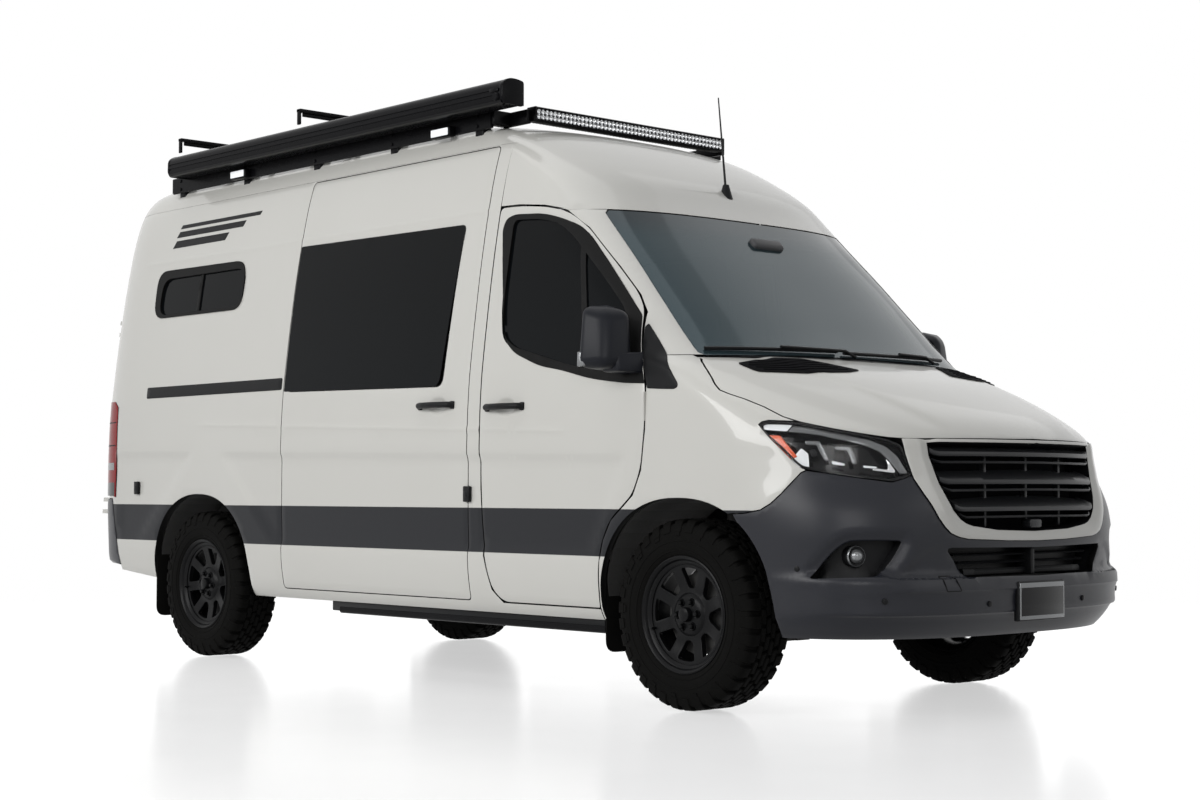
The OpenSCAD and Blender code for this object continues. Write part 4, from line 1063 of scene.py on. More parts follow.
# steps and edges of the bumper, as heights and depths, and the flat fillets beside the intake
bumperSettings = {
    "steps": (26, 20),
    "thick": 26.0,
    "edge": 3.0,
    "ledge": ([495, 503, 509, 556, 561, 575, 620], [0, -3, -8, -2, 8, 6, 0]),
    "ledgeOut": (690, 800),
    "chin": ([340, 395, 410, 418, 425, 450, 480, 500], [0, 8, 6, -4, -5, 4, 4, 0]),
    "chinOut": (820, 960),
    "fogBevel": (17.0, 48.0),
    "fillet": [(506, 676), (540, 678), (567, 677), (603, 664), (637, 643), (664, 617), (684, 591), (696, 570),
               (430, 562)],
    "filletDepth": 6.0,
}
filletRing = tidyRing(mapped(frontOfY, closed(bumperSettings["fillet"], 16)))


def bumperRelief(u, z):
    b = bumperSettings
    spread = frontMap(u, z)[:, 1]
    depth = np.interp(z, *b["ledge"]) * (1 - ramp(spread, *b["ledgeOut"]))
    depth = depth + np.interp(z, *b["chin"]) * (1 - ramp(spread, *b["chinOut"]))
    place = np.stack([u, z], -1)
    bevel, reach = b["fogBevel"]
    depth = depth + bevel * (1 - ramp(ringGap(place, fogHole), 0, reach)) * ramp(z, 560, 600)
    flat = insideRing(place, filletRing)
    return depth + b["filletDepth"] * flat * ramp(ringGap(place, filletRing), 0, 7) * (1 - ramp(590 - z, 0, 24))


bumperPoints = []
for u in np.arange(14, 1180, 27.0):
    bumperPoints += [(u, z) for z in (405, 412, 418, 425, 434, 450, 470, 497, 503, 509, 520, 551, 556, 561, 568)]
for away in (9.0, 19.0, 31.0, 45.0, 60.0):
    bumperPoints += grown(fogHole, away)
for away in (-8.0, 5.0):
    bumperPoints += grown(filletRing, away)
made = skin("frontBumper", frontMap, tidyRing(bumperRing), holes=[fogHole], steps=bumperSettings["steps"],
            thick=bumperSettings["thick"], edge=bumperSettings["edge"], relief=bumperRelief, extras=bumperPoints)
dressed(made, "bumper", "body", ["front_bumper"])
fogTub = wallOf("fogTub", frontMap, fogHole, 12.0, 74.0)
dressed(fogTub, "trim")
intakeRing = tidyRing(intakeHalf + [(0.0, z) for z in np.linspace(553, 667, 6)][1:-1])
made = wallOf("intakeTub", frontMap, intakeRing, 6.0, 96.0)
dressed(made, "trim")
surroundRing = mapped(frontOfY, dense(surroundOut, 16))
surroundRing += [(u, 1092.0) for u in np.linspace(surroundRing[-1][0] - 20, 20, 30)] + [(0.0, 1092.0), (0.0, 1082.0)]
surroundRing += [(u, 1080.0) for u in np.linspace(20, float(frontOfY(545, 1080)) - 20, 26)]
surroundRing += mapped(frontOfY, dense(grilleIn, 16)) + [(0.0, 718.0), (0.0, 706.0)]


def surroundRelief(u, z):
    # the frame rolls back into the opening
    place = np.stack([u, z], -1)
    inner = np.array([(float(frontOfY(y, h)), h) for y, h in dense(grilleIn, 16)])
    away = np.min(np.linalg.norm(place[:, None, :] - inner[None], axis=2), axis=1)
    return 16 * (1 - ramp(away, 0, 42)) - 6


made = skin("grilleSurround", frontMap, tidyRing(surroundRing), steps=(14, 14), thick=26.0, edge=3.0,
            relief=surroundRelief)
dressed(made, "paint", "body", ["grille_surround"])
print("bumper and surround")

# grille: three broad louvres with a thin blade under each, a dark back and a camera below
grilleSettings = {
    "levels": [(1029, 50), (920, 58), (813, 58)],
    "backDepth": 110.0,
    "bladeDrop": 28,
}


def grilleHalf(z):
    heights = [p[1] for p in grilleIn[::-1]]
    outs = [p[0] for p in grilleIn[::-1]]
    return float(np.interp(z, heights[2:], outs[2:])) if z > 745 else 380.0


def loftFaces(rows, count):
    # the sides of a section of so many points carried along so many rows, and both ends
    faces = []
    for i in range(rows - 1):
        for k in range(count):
            n = (k + 1) % count
            faces.append((i * count + k, i * count + n, (i + 1) * count + n, (i + 1) * count + k))
    return faces + [range(count), range((rows - 1) * count, rows * count)]


def louvre(name, profile, half, taper=26):
    # a blade across the grille: a profile of (height, depth) carried along the front
    rows = []
    for t in np.linspace(-1, 1, 61):
        end = max(0.0, (abs(t) - 0.93) / 0.07)
        y = t * half
        ring = []
        for z, depth in profile:
            lift = taper * end * end
            place, _ = onFront(y if abs(y) > 0.5 else 0.5, z + lift * 0.5, depth + lift * 0.3)
            ring.append(place)
        rows.append(ring)
    points = [p for ring in rows for p in ring]
    piece = freshObject(name, toMetres(points), loftFaces(len(rows), len(profile)))
    cleanMesh(piece)
    return piece


blades = []
for z, height in grilleSettings["levels"]:
    half = grilleHalf(z) - 6
    broad = [(z, 6), (z + 7, 2), (z + 16, 4), (z + height * 0.6, 30), (z + height, 66), (z + height - 6, 74),
             (z + 12, 30), (z - 2, 14)]
    blades.append(louvre("louvre", broad, half))
    drop = grilleSettings["bladeDrop"]
    thin = [(z - drop, 12), (z - drop + 5, 6), (z - drop + 9, 10), (z - drop + 9, 34), (z - drop + 2, 36)]
    blades.append(louvre("louvre", thin, grilleHalf(z - drop) - 6))
backRing = tidyRing(mapped(frontOfY, dense(grilleIn, 20)) + [(0.0, z) for z in np.linspace(760, 1060, 12)]
                    + [(u, 1080.0) for u in np.linspace(0, float(frontOfY(545, 1080)) - 20, 20)])
backWall = wallOf("grilleBack", frontMap, backRing, 10.0, grilleSettings["backDepth"])
for y in (-260, 0, 260):
    place, out = onFront(y if y else 0.5, 905, 70)
    blades.append(roundedBox("louvrePost", (26, 14, 300), place, 3))
place, out = onFront(0.5, 762, 8)
pod = roundedBox("cameraPod", (46, 74, 34), (place[0] - 16, 0, 762), 8, 3)
lens = aimed(spun("cameraEye", [(0, 0), (9, 0), (11, -2), (11, -10)], 24), (place[0] + 7.5, 0, 761), (1, 0, 0))
blades += [pod, lens]
dressed(backWall, "mesh")
made = joined("grille", blades)
dressed(made, "louvre", "body", ["grille"])
print("grille")

# slats of the intake and the fin in its middle
slats = []
for z, half in ((578, 400), (606, 428), (636, 455)):
    slats.append(louvre("intakeSlat", [(z, 46), (z + 5, 42), (z + 9, 48), (z + 9, 76), (z, 78)], half, 0))
place, _ = onFront(0.5, 610, 16)
slats.append(roundedBox("intakeFin", (100, 26, 108), (place[0] - 50, 0, 611), 6, 2))
dressed(joined("intakeSlats", slats), "trim")

# blank plate on its carrier
place, _ = onFront(0.5, 470, 0)
carrier = roundedBox("plateCarrier", (26, 316, 158), (place[0] - 1, 0, 455), 6, 3)
dressed(carrier, "trim")
border = roundedBox("plateBorder", (4, 300, 146), (place[0] + 12, 0, 455), 2, 2)
dressed(border, "lampGuide")
plate = roundedBox("plate", (6, 284, 112), (place[0] + 13, 0, 453), 2, 2)
dressed(plate, "glossBlack")

# fog lamps, parking sensors and the line round the tow-eye cover
fogSettings = {"y": 846, "z": 640, "depth": 44, "way": (0.96, 0.28)}
eyes = []
rims = []
for side in (-1, 1):
    place, out = onFront(side * fogSettings["y"], fogSettings["z"], fogSettings["depth"])
    way = (fogSettings["way"][0], side * fogSettings["way"][1], 0)
    eyes.append(aimed(spun("fogEye", [(0, 30), (13, 27), (22, 19), (27, 8), (28, -4), (28, -30), (0, -30)], 36), place,
                      way))
    eyes.append(aimed(spun("fogRing", [(36, 2), (38.5, 5), (41, 2), (41, -4), (36, -4)], 36), place, way))
    rims.append(aimed(spun("fogRim", [(28.5, 2), (36, 4), (40, -2), (40, -40), (28.5, -40)], 36), place, way))
    for u, z in ((frontOfY(316, 452), 452), (frontOfY(780, 472), 472), (frontOfX(613, 593), 593)):
        place, out = onSkin(frontMap, u, z, 0)
        sensor = spun("sensor", [(0, 3), (9, 2.6), (11, 1.5), (12, -8), (0, -8)], 24)
        rims.append(aimed(sensor, place * sideTurn[side], out * sideTurn[side]))
dressed(joined("fogLamps", eyes), "lampGuide", "body")
dressed(joined("bumperSensors", rims), "trim")
towRing = mapped(frontOfY, closed(rounded([(563, 568), (505, 568), (476, 506), (545, 506)], 5), 9))
made = skin("towLine", frontMap, tidyRing(grown(towRing, 1.6)), holes=[tidyRing(grown(towRing, -1.8))], steps=(14, 8),
            depth=-0.7, thick=3.0, edge=0.0, sides=(-1,), relief=bumperRelief)
dressed(made, "sealAndGapShade")
print("front details")

# headlamps: a dark bowl, projectors with brackets, light strips, an amber reflector and a clear cover
lampFlat = tidyRing(mapped(frontOfX, closed(rounded(lampRing, 10), 14)))
bowl = wallOf("lampBowl", frontMap, tidyRing(grown(lampFlat, -3.0)), 2.0, 74.0, steps=(30, 30))
dressed(bowl, "glossBlack", "body")
outer = tidyRing(grown(lampFlat, -0.5))
rim = skin("lampRim", frontMap, outer, holes=[tidyRing(grown(outer, -9.0))], steps=(24, 24), depth=1.0, thick=14.0,
           edge=1.0)
dressed(rim, "glossBlack")
cover = skin("lampCover", frontMap, outer, steps=(24, 24), thick=2.5, edge=0.0)
dressed(cover, "lampGlass", "body", ["headlamps"])


def onLamp(x, z, depth=0.0):
    place, out = onSkin(frontMap, frontOfX(x, z), z, depth)
    return place * sideTurn[-1], out * sideTurn[-1]


def lampBit(name, points, depth, thick=8.0):
    # a flat piece inside the lamp, drawn in (x, z)
    ring = tidyRing(mapped(frontOfX, closed(rounded(points, 5), 12)))
    return skin(name, frontMap, ring, steps=(18, 18), depth=depth, thick=thick, edge=1.0, sides=(-1,))


lampSettings = {
    "eyes": [(640, 1040, 27), (726, 1024, 25)],
    "brackets": [[(606, 1088), (654, 1087), (670, 1052), (688, 1013), (674, 1013), (655, 1046), (644, 1072),
                  (610, 1073)],
                 [(700, 1065), (747, 1063), (759, 1034), (770, 1000), (757, 1000), (745, 1030), (736, 1049),
                  (704, 1051)],
                 [(838, 1018), (862, 1006), (866, 964), (812, 975), (814, 983), (848, 976), (846, 1000)]],
    "strip": [(440, 1155), (546, 1153), (537, 1126), (448, 1133)],
    "guide": [(548, 1150), (633, 1138), (724, 1113), (793, 1089), (832, 1064), (861, 1027), (893, 960), (876, 960),
              (849, 1006), (820, 1044), (783, 1067), (732, 1087), (644, 1113), (541, 1127)],
    "white": [[(560, 1010), (596, 1057), (621, 1037), (631, 976), (587, 988)],
              [(697, 1010), (738, 998), (736, 990), (700, 996)], [(785, 992), (822, 987), (820, 979), (788, 983)]],
    "amber": [(462, 1112), (518, 1108), (586, 1024), (556, 1013)],
}
eyes = []
for x, z, size in lampSettings["eyes"]:
    place, out = onLamp(x, z, 36)
    ball = spun("lampEye", [(0, 16), (size * 0.5, 13), (size * 0.85, 4), (size, -10), (size, -24), (0, -24)], 40)
    eyes.append(aimed(ball, place, (0.92, out[1] * 0.5, 0.0)))
made = bothSides(joined("lampEyes", eyes))
dressed(made, "glossBlack", "body")
brackets = [lampBit("lampBracket", path, 20, 10.0) for path in lampSettings["brackets"][:2]]
made = bothSides(joined("lampBrackets", brackets))
dressed(made, "lampGuide", "body")
made = bothSides(lampBit("lampChrome", lampSettings["brackets"][2], 18))
dressed(made, "chrome", "body")
f = Finish("lampLight", Roughness=0.2, Emission_Strength=0.35)
glow = f.mix(f.noise(90.0), colour(0.78, 0.80, 0.82), colour(0.88, 0.90, 0.91))
f.feed("Base Color", glow)
f.feed("Emission Color", glow)
finishes["lampLight"] = f.material
whites = [lampBit("lampStrip", lampSettings["strip"], 9)]
whites += [lampBit("lampWhite", path, 12) for path in lampSettings["white"]]
made = bothSides(joined("lampStrip", whites))
dressed(made, "lampLight", "body")
made = bothSides(lampBit("lampGuide", lampSettings["guide"], 10))
dressed(made, "lampGuide", "body")
made = bothSides(lampBit("lampAmber", lampSettings["amber"], 8))
dressed(made, "amber", "body")
print("headlamps")

# rear doors, their glass, the lamps and the rear bumper
def tailRing(points, gapLength=24.0):
    return tidyRing(mapped(sideOfTailY, closed(points, gapLength)))


rearTop = 2490
for side, word in sideWords:
    path = [(4, 606), (tailEdge(606) - 1, 606), (tailEdge(2420) - 1, 2420), (tailEdge(2490) - 31, rearTop),
            (4, rearTop)]
    window = rounded([(120, 1430), (620, 1430), (620, 2060), (120, 2060)], 60)
    made = skin("rearDoor." + word, sideMap, tailRing(path), holes=[tailRing(window)], steps=(36, 40), thick=40.0,
                edge=2.5, sides=(side,))
    dressed(made, "paintBand", "rear_door_" + word, ["rear_door_" + word])
    made = skin("rearGlass." + word, sideMap, tailRing(grown(closed(window), -1.0)), steps=(70, 70), depth=3.0,
                thick=7.0, edge=0.0, sides=(side,))
    dressed(made, "darkGlass", "rear_door_" + word, ["rear_glass_" + word])
lampZ = np.linspace(858, 1408, 30)
lampPath = [(float(sideOfTailY(tailEdge(z) + 5, z)), z) for z in lampZ]
lampPath += mapped(sideOfTailX, dense([(tailX + 60, 1408), (tailX + 240, 1403), (tailX + 292, 1370),
                                       (tailX + 306, 1000), (tailX + 296, 854)]))
made = skin("tailLamps", sideMap, tidyRing(lampPath), steps=(18, 22), depth=-3.0, thick=30.0, edge=3.0)
dressed(made, "tailRed", "body", ["tail_lamps"])
# a dark foot, a pale reversing strip and two seams in each lens
tailBands = [("glossBlack", 862, 938, 280), ("lampGuide", 1010, 1052, 270), ("sealAndGapShade", 1148, 1154, 284),
             ("sealAndGapShade", 1280, 1286, 280)]
for finish, low, high, front in tailBands:
    zs = np.linspace(low, high, 4)
    band = [(float(sideOfTailY(tailEdge(z) + 16, z)), z) for z in zs]
    band += [(float(sideOfTailX(x, high)), high) for x in np.linspace(tailX + 40, tailX + front, 9)]
    band += [(float(sideOfTailX(tailX + front, z)), z) for z in zs[::-1][1:]]
    band += [(float(sideOfTailX(x, low)), low) for x in np.linspace(tailX + front, tailX + 40, 9)[1:]]
    made = skin("tailBand.%d" % low, sideMap, tidyRing(band), steps=(18, 22), depth=-3.8, thick=4.0, edge=0.0)
    dressed(made, finish, "body")
cornerZ = np.linspace(470, 844, 22)
cornerPath = [(float(sideOfTailY(min(tailEdge(max(z, 606)), 868) + 6, z)), z) for z in cornerZ]
cornerPath += mapped(sideOfTailX, dense([(tailX + 150, 844), (tailX + 249, 844), (tailX + 299, 620),
                                         (tailX + 338, 470)]))
corner = skin("rearCorner", sideMap, tidyRing(cornerPath), steps=(20, 22), depth=-2.0, thick=30.0, edge=3.0)
bar = roundedBox("rearStep", (82, 1680, 112), (tailX + 19, 0, 530), 14, 3)
pads = [roundedBox("stepPad", (60, 14, 4), (tailX + 8, y, 587), 1.5, 1) for y in range(-700, 701, 40)]
dressed(joined("rearBumper", [corner, bar] + pads), "bumper", "body", ["rear_bumper"])
for word, y, wide in (("right", -66, 90), ("left", 66, 40)):
    made = roundedBox("rearHandle", (18, wide, 30), (tailX - 10, y, 1180), 6, 3)
    dressed(made, "trim", "rear_door_" + word)
rearPlate = roundedBox("rearPlate", (8, 420, 130), (tailX - 6, 330, 980), 4, 2)
dressed(rearPlate, "glossBlack", "rear_door_left")
highLamp = roundedBox("highLamp", (12, 300, 24), (tailX + 22, 0, 2530), 5, 3)
dressed(highLamp, "tailRed", "body")
print("rear")

# wheels: one face with eight windows, a stepped rim, a raised hub with its nuts, and a tyre of copied blocks
wheelSettings = {
    "face": 212,
    "windows": 8,
    "windowIn": 108,
    "windowOut": 190,
    "spoke": 25,
    "pitches": 34,
    # rows of blocks: start and length as shares of a pitch, from and to across the tyre, skew
    "tread": [(0.0, 0.80, -56, -30, 0.25), (0.5, 0.84, -26, -2, -0.3), (0.2, 0.84, 2, 26, 0.3),
              (0.7, 0.80, 30, 56, -0.25)],
    "treadLow": 366,
    "treadHigh": 389,
}


def wheelMap(u, v):
    r = np.hypot(u, v)
    y = 78 + 16 * ramp(r, 110, 205) - 10 * ramp(r, 60, 100)
    return np.stack([u, y, v], -1)


def windowRing(index):
    s = wheelSettings
    mid = math.tau * (index + 0.5) / s["windows"]
    half = math.pi / s["windows"]
    out = []
    for r, sign in ((s["windowIn"], -1), (s["windowIn"], 1), (s["windowOut"], 1), (s["windowOut"], -1)):
        a = half - math.asin(s["spoke"] / r)
        out.append((r * math.cos(mid + sign * a), r * math.sin(mid + sign * a)))
    arcStart = out[2]
    arcEnd = out[3]
    a = half - math.asin(s["spoke"] / s["windowOut"])
    bow = [(s["windowOut"] * math.cos(mid + a * k), s["windowOut"] * math.sin(mid + a * k)) for k in (0.5, 0, -0.5)]
    path = [(out[0][0], out[0][1], 16), (out[1][0], out[1][1], 16), (arcStart[0], arcStart[1], 20)]
    path += [(p[0], p[1], 30) for p in bow] + [(arcEnd[0], arcEnd[1], 20)]
    return closed(rounded(path, 16), 9)


faceAngles = np.linspace(0, math.tau, 97)[:-1]
faceRing = [(wheelSettings["face"] * math.cos(t), wheelSettings["face"] * math.sin(t)) for t in faceAngles]
flat, faces = sheetOf(faceRing, [windowRing(i) for i in range(wheelSettings["windows"])], 15, 15)
wheelFace = freshObject("wheelFace", wheelMap(flat[:, 0], flat[:, 1]) / 1000, faces)
cleanMesh(wheelFace, 0.0001)
if wheelFace.data.polygons[0].normal.y < 0:
    wheelFace.data.flip_normals()
addModifier(wheelFace, "SOLIDIFY", thickness=0.024, offset=-1.0)
addModifier(wheelFace, "BEVEL", width=0.005, segments=3, limit_method="ANGLE", angle_limit=math.radians(50))
rimProfile = [(204, 88), (212, 96), (219, 99), (222, 106), (226, 112), (234, 116), (239, 114), (241, 106), (236, 100),
              (232, 92), (228, 60), (214, 20), (208, -60), (228, -104), (240, -110), (239, -116), (232, -114),
              (220, -104), (200, -60), (204, 20), (206, 60), (204, 88)]
wheelRim = spun("wheelRim", rimProfile, 72)
hub = spun("wheelHub", [(0, 86), (60, 86), (70, 84), (82, 78), (92, 66), (92, 40), (0, 40)], 48)
cap = spun("wheelCap", [(0, 112), (20, 112), (27, 109), (30, 103), (31, 80), (0, 80)], 40)
nuts = []
for k in range(6):
    a = math.tau * k / 6 + 0.26
    nut = spun("wheelNut", [(0, 104), (7, 104), (10.5, 100), (11, 80), (0, 80)], 6)
    nut.data.transform(Matrix.Translation((0.056 * math.cos(a), 0, 0.056 * math.sin(a))))
    well = spun("nutSeat", [(11, 88), (15, 90), (18, 85), (18, 80)], 20)
    well.data.transform(Matrix.Translation((0.056 * math.cos(a), 0, 0.056 * math.sin(a))))
    nuts += [nut, well]
disc = spun("brakeDisc", [(60, 20), (165, 20), (165, -4), (60, -4)], 64)
valve = roundedBox("valve", (9, 30, 9), (-axleX + 196, 96, 0), 3)
wheelSet = joined("wheelSet", [wheelFace, wheelRim, hub, cap] + nuts + [valve])


def tyreHalfAt(r):
    # sidewall: how far out it stands at a radius
    rs = [238, 250, 275, 305, 335, 358, 372, 380]
    ys = [108, 118, 124, 125, 122, 116, 108, 96]
    return float(np.interp(r, rs, ys))


carcass = [(232, 106)] + [(r, tyreHalfAt(r)) for r in (238, 244, 252, 264, 275, 290, 305, 320, 335, 348, 358, 366)]
carcass += [(371, 104), (374, 90), (375, 60), (375, 20)]
carcass = carcass + [(r, -y) for r, y in carcass[::-1]]
tyreBody = spun("tyreBody", carcass, 96)
ringBead = []
for r, y in ((262, 121.5), (300, 125.3)):
    bead = [(r - 4, y - 1.5), (r - 2, y + 1.4), (r + 2, y + 1.4), (r + 4, y - 1.5)]
    ringBead.append(spun("tyreBead", bead, 72))
    ringBead.append(spun("tyreBead", [(p, -q) for p, q in bead], 72))


def treadBlock(name, angle, spanDegrees, y0, y1, low, high, skew=0.0, edge=4.0):
    # a block drawn flat, then wrapped round the tyre
    bpy.ops.mesh.primitive_cube_add(size=1)
    piece = bpy.context.object
    piece.name = name
    length = math.radians(spanDegrees) * high
    edited(piece, sizing((length, abs(y1 - y0), high - low)), bevelling(edge, 1))
    for vertex in piece.data.vertices:
        along, across, up = vertex.co
        across = across + (y0 + y1) / 2
        r = up + (low + high) / 2
        turn = math.radians(angle) + (along + skew * (across - (y0 + y1) / 2)) / high
        vertex.co = (r * math.cos(turn) / 1000, across / 1000, r * math.sin(turn) / 1000)
    return piece


def shoulderLug(angle, spanDegrees, side, foot):
    # a lug that comes over the shoulder and down the sidewall
    shape = [(foot, tyreHalfAt(foot) - 3), (foot + 3, tyreHalfAt(foot) + 3.5), (352, 121.5), (368, 117), (380, 110),
             (387, 99), (389, 84), (388.5, 62), (372, 60), (366, 92), (350, 108)]
    points = []
    cuts = [(-0.5, 0.82), (-0.44, 1.0), (0.44, 1.0), (0.5, 0.82)]
    for share, size in cuts:
        a = math.radians(angle + share * spanDegrees)
        for i, (r, y) in enumerate(shape):
            rr = 360 + (r - 360) * (0.86 if size < 1 and i in (5, 6, 7) else 1)
            yy = y - (3 if size < 1 and i in (1, 2, 3, 4, 5) else 0)
            points.append((rr * math.cos(a) / 1000, side * yy / 1000, rr * math.sin(a) / 1000))
    piece = freshObject("shoulderLug", points, loftFaces(len(cuts), len(shape)))
    cleanMesh(piece)
    return piece


pitch = 360 / wheelSettings["pitches"]
low, high = wheelSettings["treadLow"], wheelSettings["treadHigh"]
blocks = [treadBlock("block", pitch * first, pitch * share, y0, y1, low, high, skew)
          for first, share, y0, y1, skew in wheelSettings["tread"]]
blocks += [shoulderLug(0.0, pitch * 0.68, 1, 334), shoulderLug(pitch * 0.35, pitch * 0.68, -1, 334)]
onePitch = joined("treadPitch", blocks)
tread = [onePitch]
for k in range(1, wheelSettings["pitches"]):
    more = copyOf(onePitch, "treadPitch")
    more.data.transform(Matrix.Rotation(-math.radians(pitch * k), 4, "Y"))
    tread.append(more)
longLugs = []
for k in range(0, wheelSettings["pitches"], 2):
    longLugs.append(shoulderLug(-pitch * k, pitch * 0.52, 1, 318))
    longLugs.append(shoulderLug(-pitch * k + pitch * 0.35, pitch * 0.52, -1, 318))
tyreSet = joined("tyreSet", [tyreBody] + ringBead + tread + longLugs)
places = []
for end, x in (("front", 0.0), ("rear", rearAxle)):
    for side, word in sideWords:
        places.append((end + "_" + word, x, side))
for label, x, side in places:
    shift = Matrix.Translation(((x + axleX) / 1000, side * wheelY / 1000, axleZ / 1000))
    turn = Matrix.Rotation(math.pi, 4, "Z") if side < 0 else Matrix.Identity(4)
    spin = Matrix.Rotation(math.radians(7 if x else 19), 4, "Y")
    wheel = copyOf(wheelSet, "wheel." + label)
    wheel.data.transform(shift @ turn @ spin)
    dressed(wheel, "wheel", "wheel_" + label, ["wheel_" + label], 35)
    tyre = copyOf(tyreSet, "tyre." + label)
    tyre.data.transform(shift @ turn @ spin)
    dressed(tyre, "rubber", "wheel_" + label, ["tyre_" + label], 35)
    rotor = copyOf(disc, "brakeDisc." + label)
    rotor.data.transform(shift @ turn)
    dressed(rotor, "under", "wheel_" + label)
for spare in (wheelSet, tyreSet, disc):
    bpy.data.objects.remove(spare)
print("wheels")

# mirrors: a rounded head on a foot, the glass behind and a clear strip at the outer edge
mirrorSettings = {
    "head": [(-400, 1014, 1388), (-404, 1202, 1396), (-398, 1014, 1676), (-400, 1180, 1672),
             (-226, 1018, 1392), (-262, 1166, 1406), (-240, 1018, 1644), (-286, 1140, 1630)],
    "foot": [(-345, 955, 1378), (-345, 1100, 1384), (-345, 955, 1470), (-345, 1100, 1464),
             (-196, 962, 1378), (-245, 1100, 1386), (-202, 955, 1468), (-252, 1100, 1462)],
    "glass": [(-403, 1064, 1440), (-405, 1150, 1444), (-401, 1064, 1624), (-403, 1138, 1622),
              (-393, 1064, 1440), (-395, 1150, 1444), (-391, 1064, 1624), (-393, 1138, 1622)],
    "strip": [(-398, 1178, 1404), (-398, 1192, 1406), (-398, 1176, 1470), (-398, 1190, 1468),
              (-360, 1172, 1408), (-364, 1186, 1410), (-360, 1170, 1466), (-364, 1183, 1464)],
    "edge": 44,
}


def blockOf(name, corners, edge, segments):
    # a block from eight corners: four at the back, then four at the front
    faces = [(0, 1, 3, 2), (4, 6, 7, 5), (0, 4, 5, 1), (2, 3, 7, 6), (1, 5, 7, 3), (0, 2, 6, 4)]
    return edited(freshObject(name, toMetres(corners), faces), facingOut, bevelling(edge / 1000, segments))


for side, word in sideWords:
    head = blockOf("mirrorHead", mirrorSettings["head"], mirrorSettings["edge"], 6)
    foot = blockOf("mirrorFoot", mirrorSettings["foot"], 12, 3)
    made = joined("mirror." + word, [head, foot])
    glassPiece = blockOf("mirrorGlass." + word, mirrorSettings["glass"], 3, 2)
    strip = blockOf("mirrorStrip." + word, mirrorSettings["strip"], 4, 2)
    for piece in (made, glassPiece, strip):
        if side < 0:
            flipped(piece)
    dressed(made, "mirror", "front_door_" + word, ["mirror_" + word])
    dressed(glassPiece, "chrome", "front_door_" + word)
    dressed(strip, "lampGuide", "front_door_" + word)

# black frames round the glass, the bar in the door window and the sails ahead of it
frameSettings = {
    "door": [(-1226, 2085, 30), (-1207, 2132, 30), (-1149, 2146, 40), (-955, 2131, 80), (-835, 2101, 60),
             (-712, 2055, 60), (-637, 2000, 60), (-506, 1872, 80), (-425, 1787, 60), (-338, 1695, 40), (-274, 1628, 16),
             (-252, 1556, 40), (-232, 1480, 40), (-193, 1335, 6), (-318, 1342, 40), (-467, 1360, 60), (-551, 1374, 60),
             (-728, 1416, 80), (-863, 1437, 80), (-1048, 1505, 60), (-1124, 1572, 60), (-1162, 1752, 80)],
    "bar": [(-690, 2030), (-652, 1990), (-538, 1404), (-576, 1408)],
    "sail": [(-243, 1576), (-221, 1484), (-179, 1332), (-176, 1314), (-100, 1309), (-18, 1305), (2, 1314), (1, 1330),
             (-93, 1440), (-160, 1513), (-234, 1590)],
    "bunk": [(rearAxle - 604, 1862), (rearAxle + 308, 1860), (rearAxle + 292, 2128), (rearAxle - 622, 2136)],
    "bunkBar": [(rearAxle - 160, 1880), (rearAxle - 132, 1880), (rearAxle - 136, 2104), (rearAxle - 164, 2104)],
    "doorGrip": (-1087, 1265),
    "slideGrip": (-1583, 1286),
}
doorFrame = closed(rounded(frameSettings["door"], 20))
divider = closed(rounded(frameSettings["bar"], 4), 20)


def gripOf(name, x, z, side):
    # a bar that stands off the door on two feet
    path = [(-122, 2), (-110, -22), (-60, -33), (0, -36), (60, -33), (110, -22), (122, 2)]
    line = [onSkin(sideMap, x + along, z, depth)[0] * sideTurn[side] for along, depth in path]
    bar = tubeAlong(name, line, 16, True)
    addModifier(bar, "SUBSURF", levels=1)
    feet = [roundedBox("gripFoot", (28, 14, 36), onSkin(sideMap, x + along, z, -4)[0] * sideTurn[side], 6, 3)
            for along in (-120, 120)]
    return joined(name, [bar] + feet)


for side, word in sideWords:
    frameRing = skin("windowFrame", sideMap, tidyRing(doorFrame), holes=[tidyRing(grown(doorWindowRing, -14.0))],
                     steps=(26, 26), depth=-2.0, thick=14.0, edge=2.0, sides=(side,))
    bar = skin("windowBar", sideMap, divider, steps=(20, 30), depth=2.0, thick=12.0, edge=1.0, sides=(side,))
    made = joined("doorFrame." + word, [frameRing, bar])
    dressed(made, "sealAndGapShade", "front_door_" + word)
    dressed(gripOf("doorGrip." + word, *frameSettings["doorGrip"], side), "trim", "front_door_" + word)
dressed(gripOf("slideGrip", *frameSettings["slideGrip"], -1), "trim")
sail = closed(rounded(frameSettings["sail"], 8), 18)
made = skin("mirrorSail", sideMap, tidyRing(sail), steps=(18, 18), depth=-2.5, thick=8.0, edge=2.0)
dressed(made, "trim")
bunkOuter = closed(rounded(frameSettings["bunk"], 96))
frameRing = skin("bunkFrame", sideMap, tidyRing(bunkOuter), holes=[tidyRing(grown(bunkRing, -12.0))], steps=(26, 26),
                 depth=-5.0, thick=16.0, edge=3.0)
bar = skin("bunkBar", sideMap, closed(rounded(frameSettings["bunkBar"], 4), 20), steps=(20, 30), depth=1.0, thick=10.0,
           edge=1.0)
dressed(joined("bunkFrame", [frameRing, bar]), "sealAndGapShade")

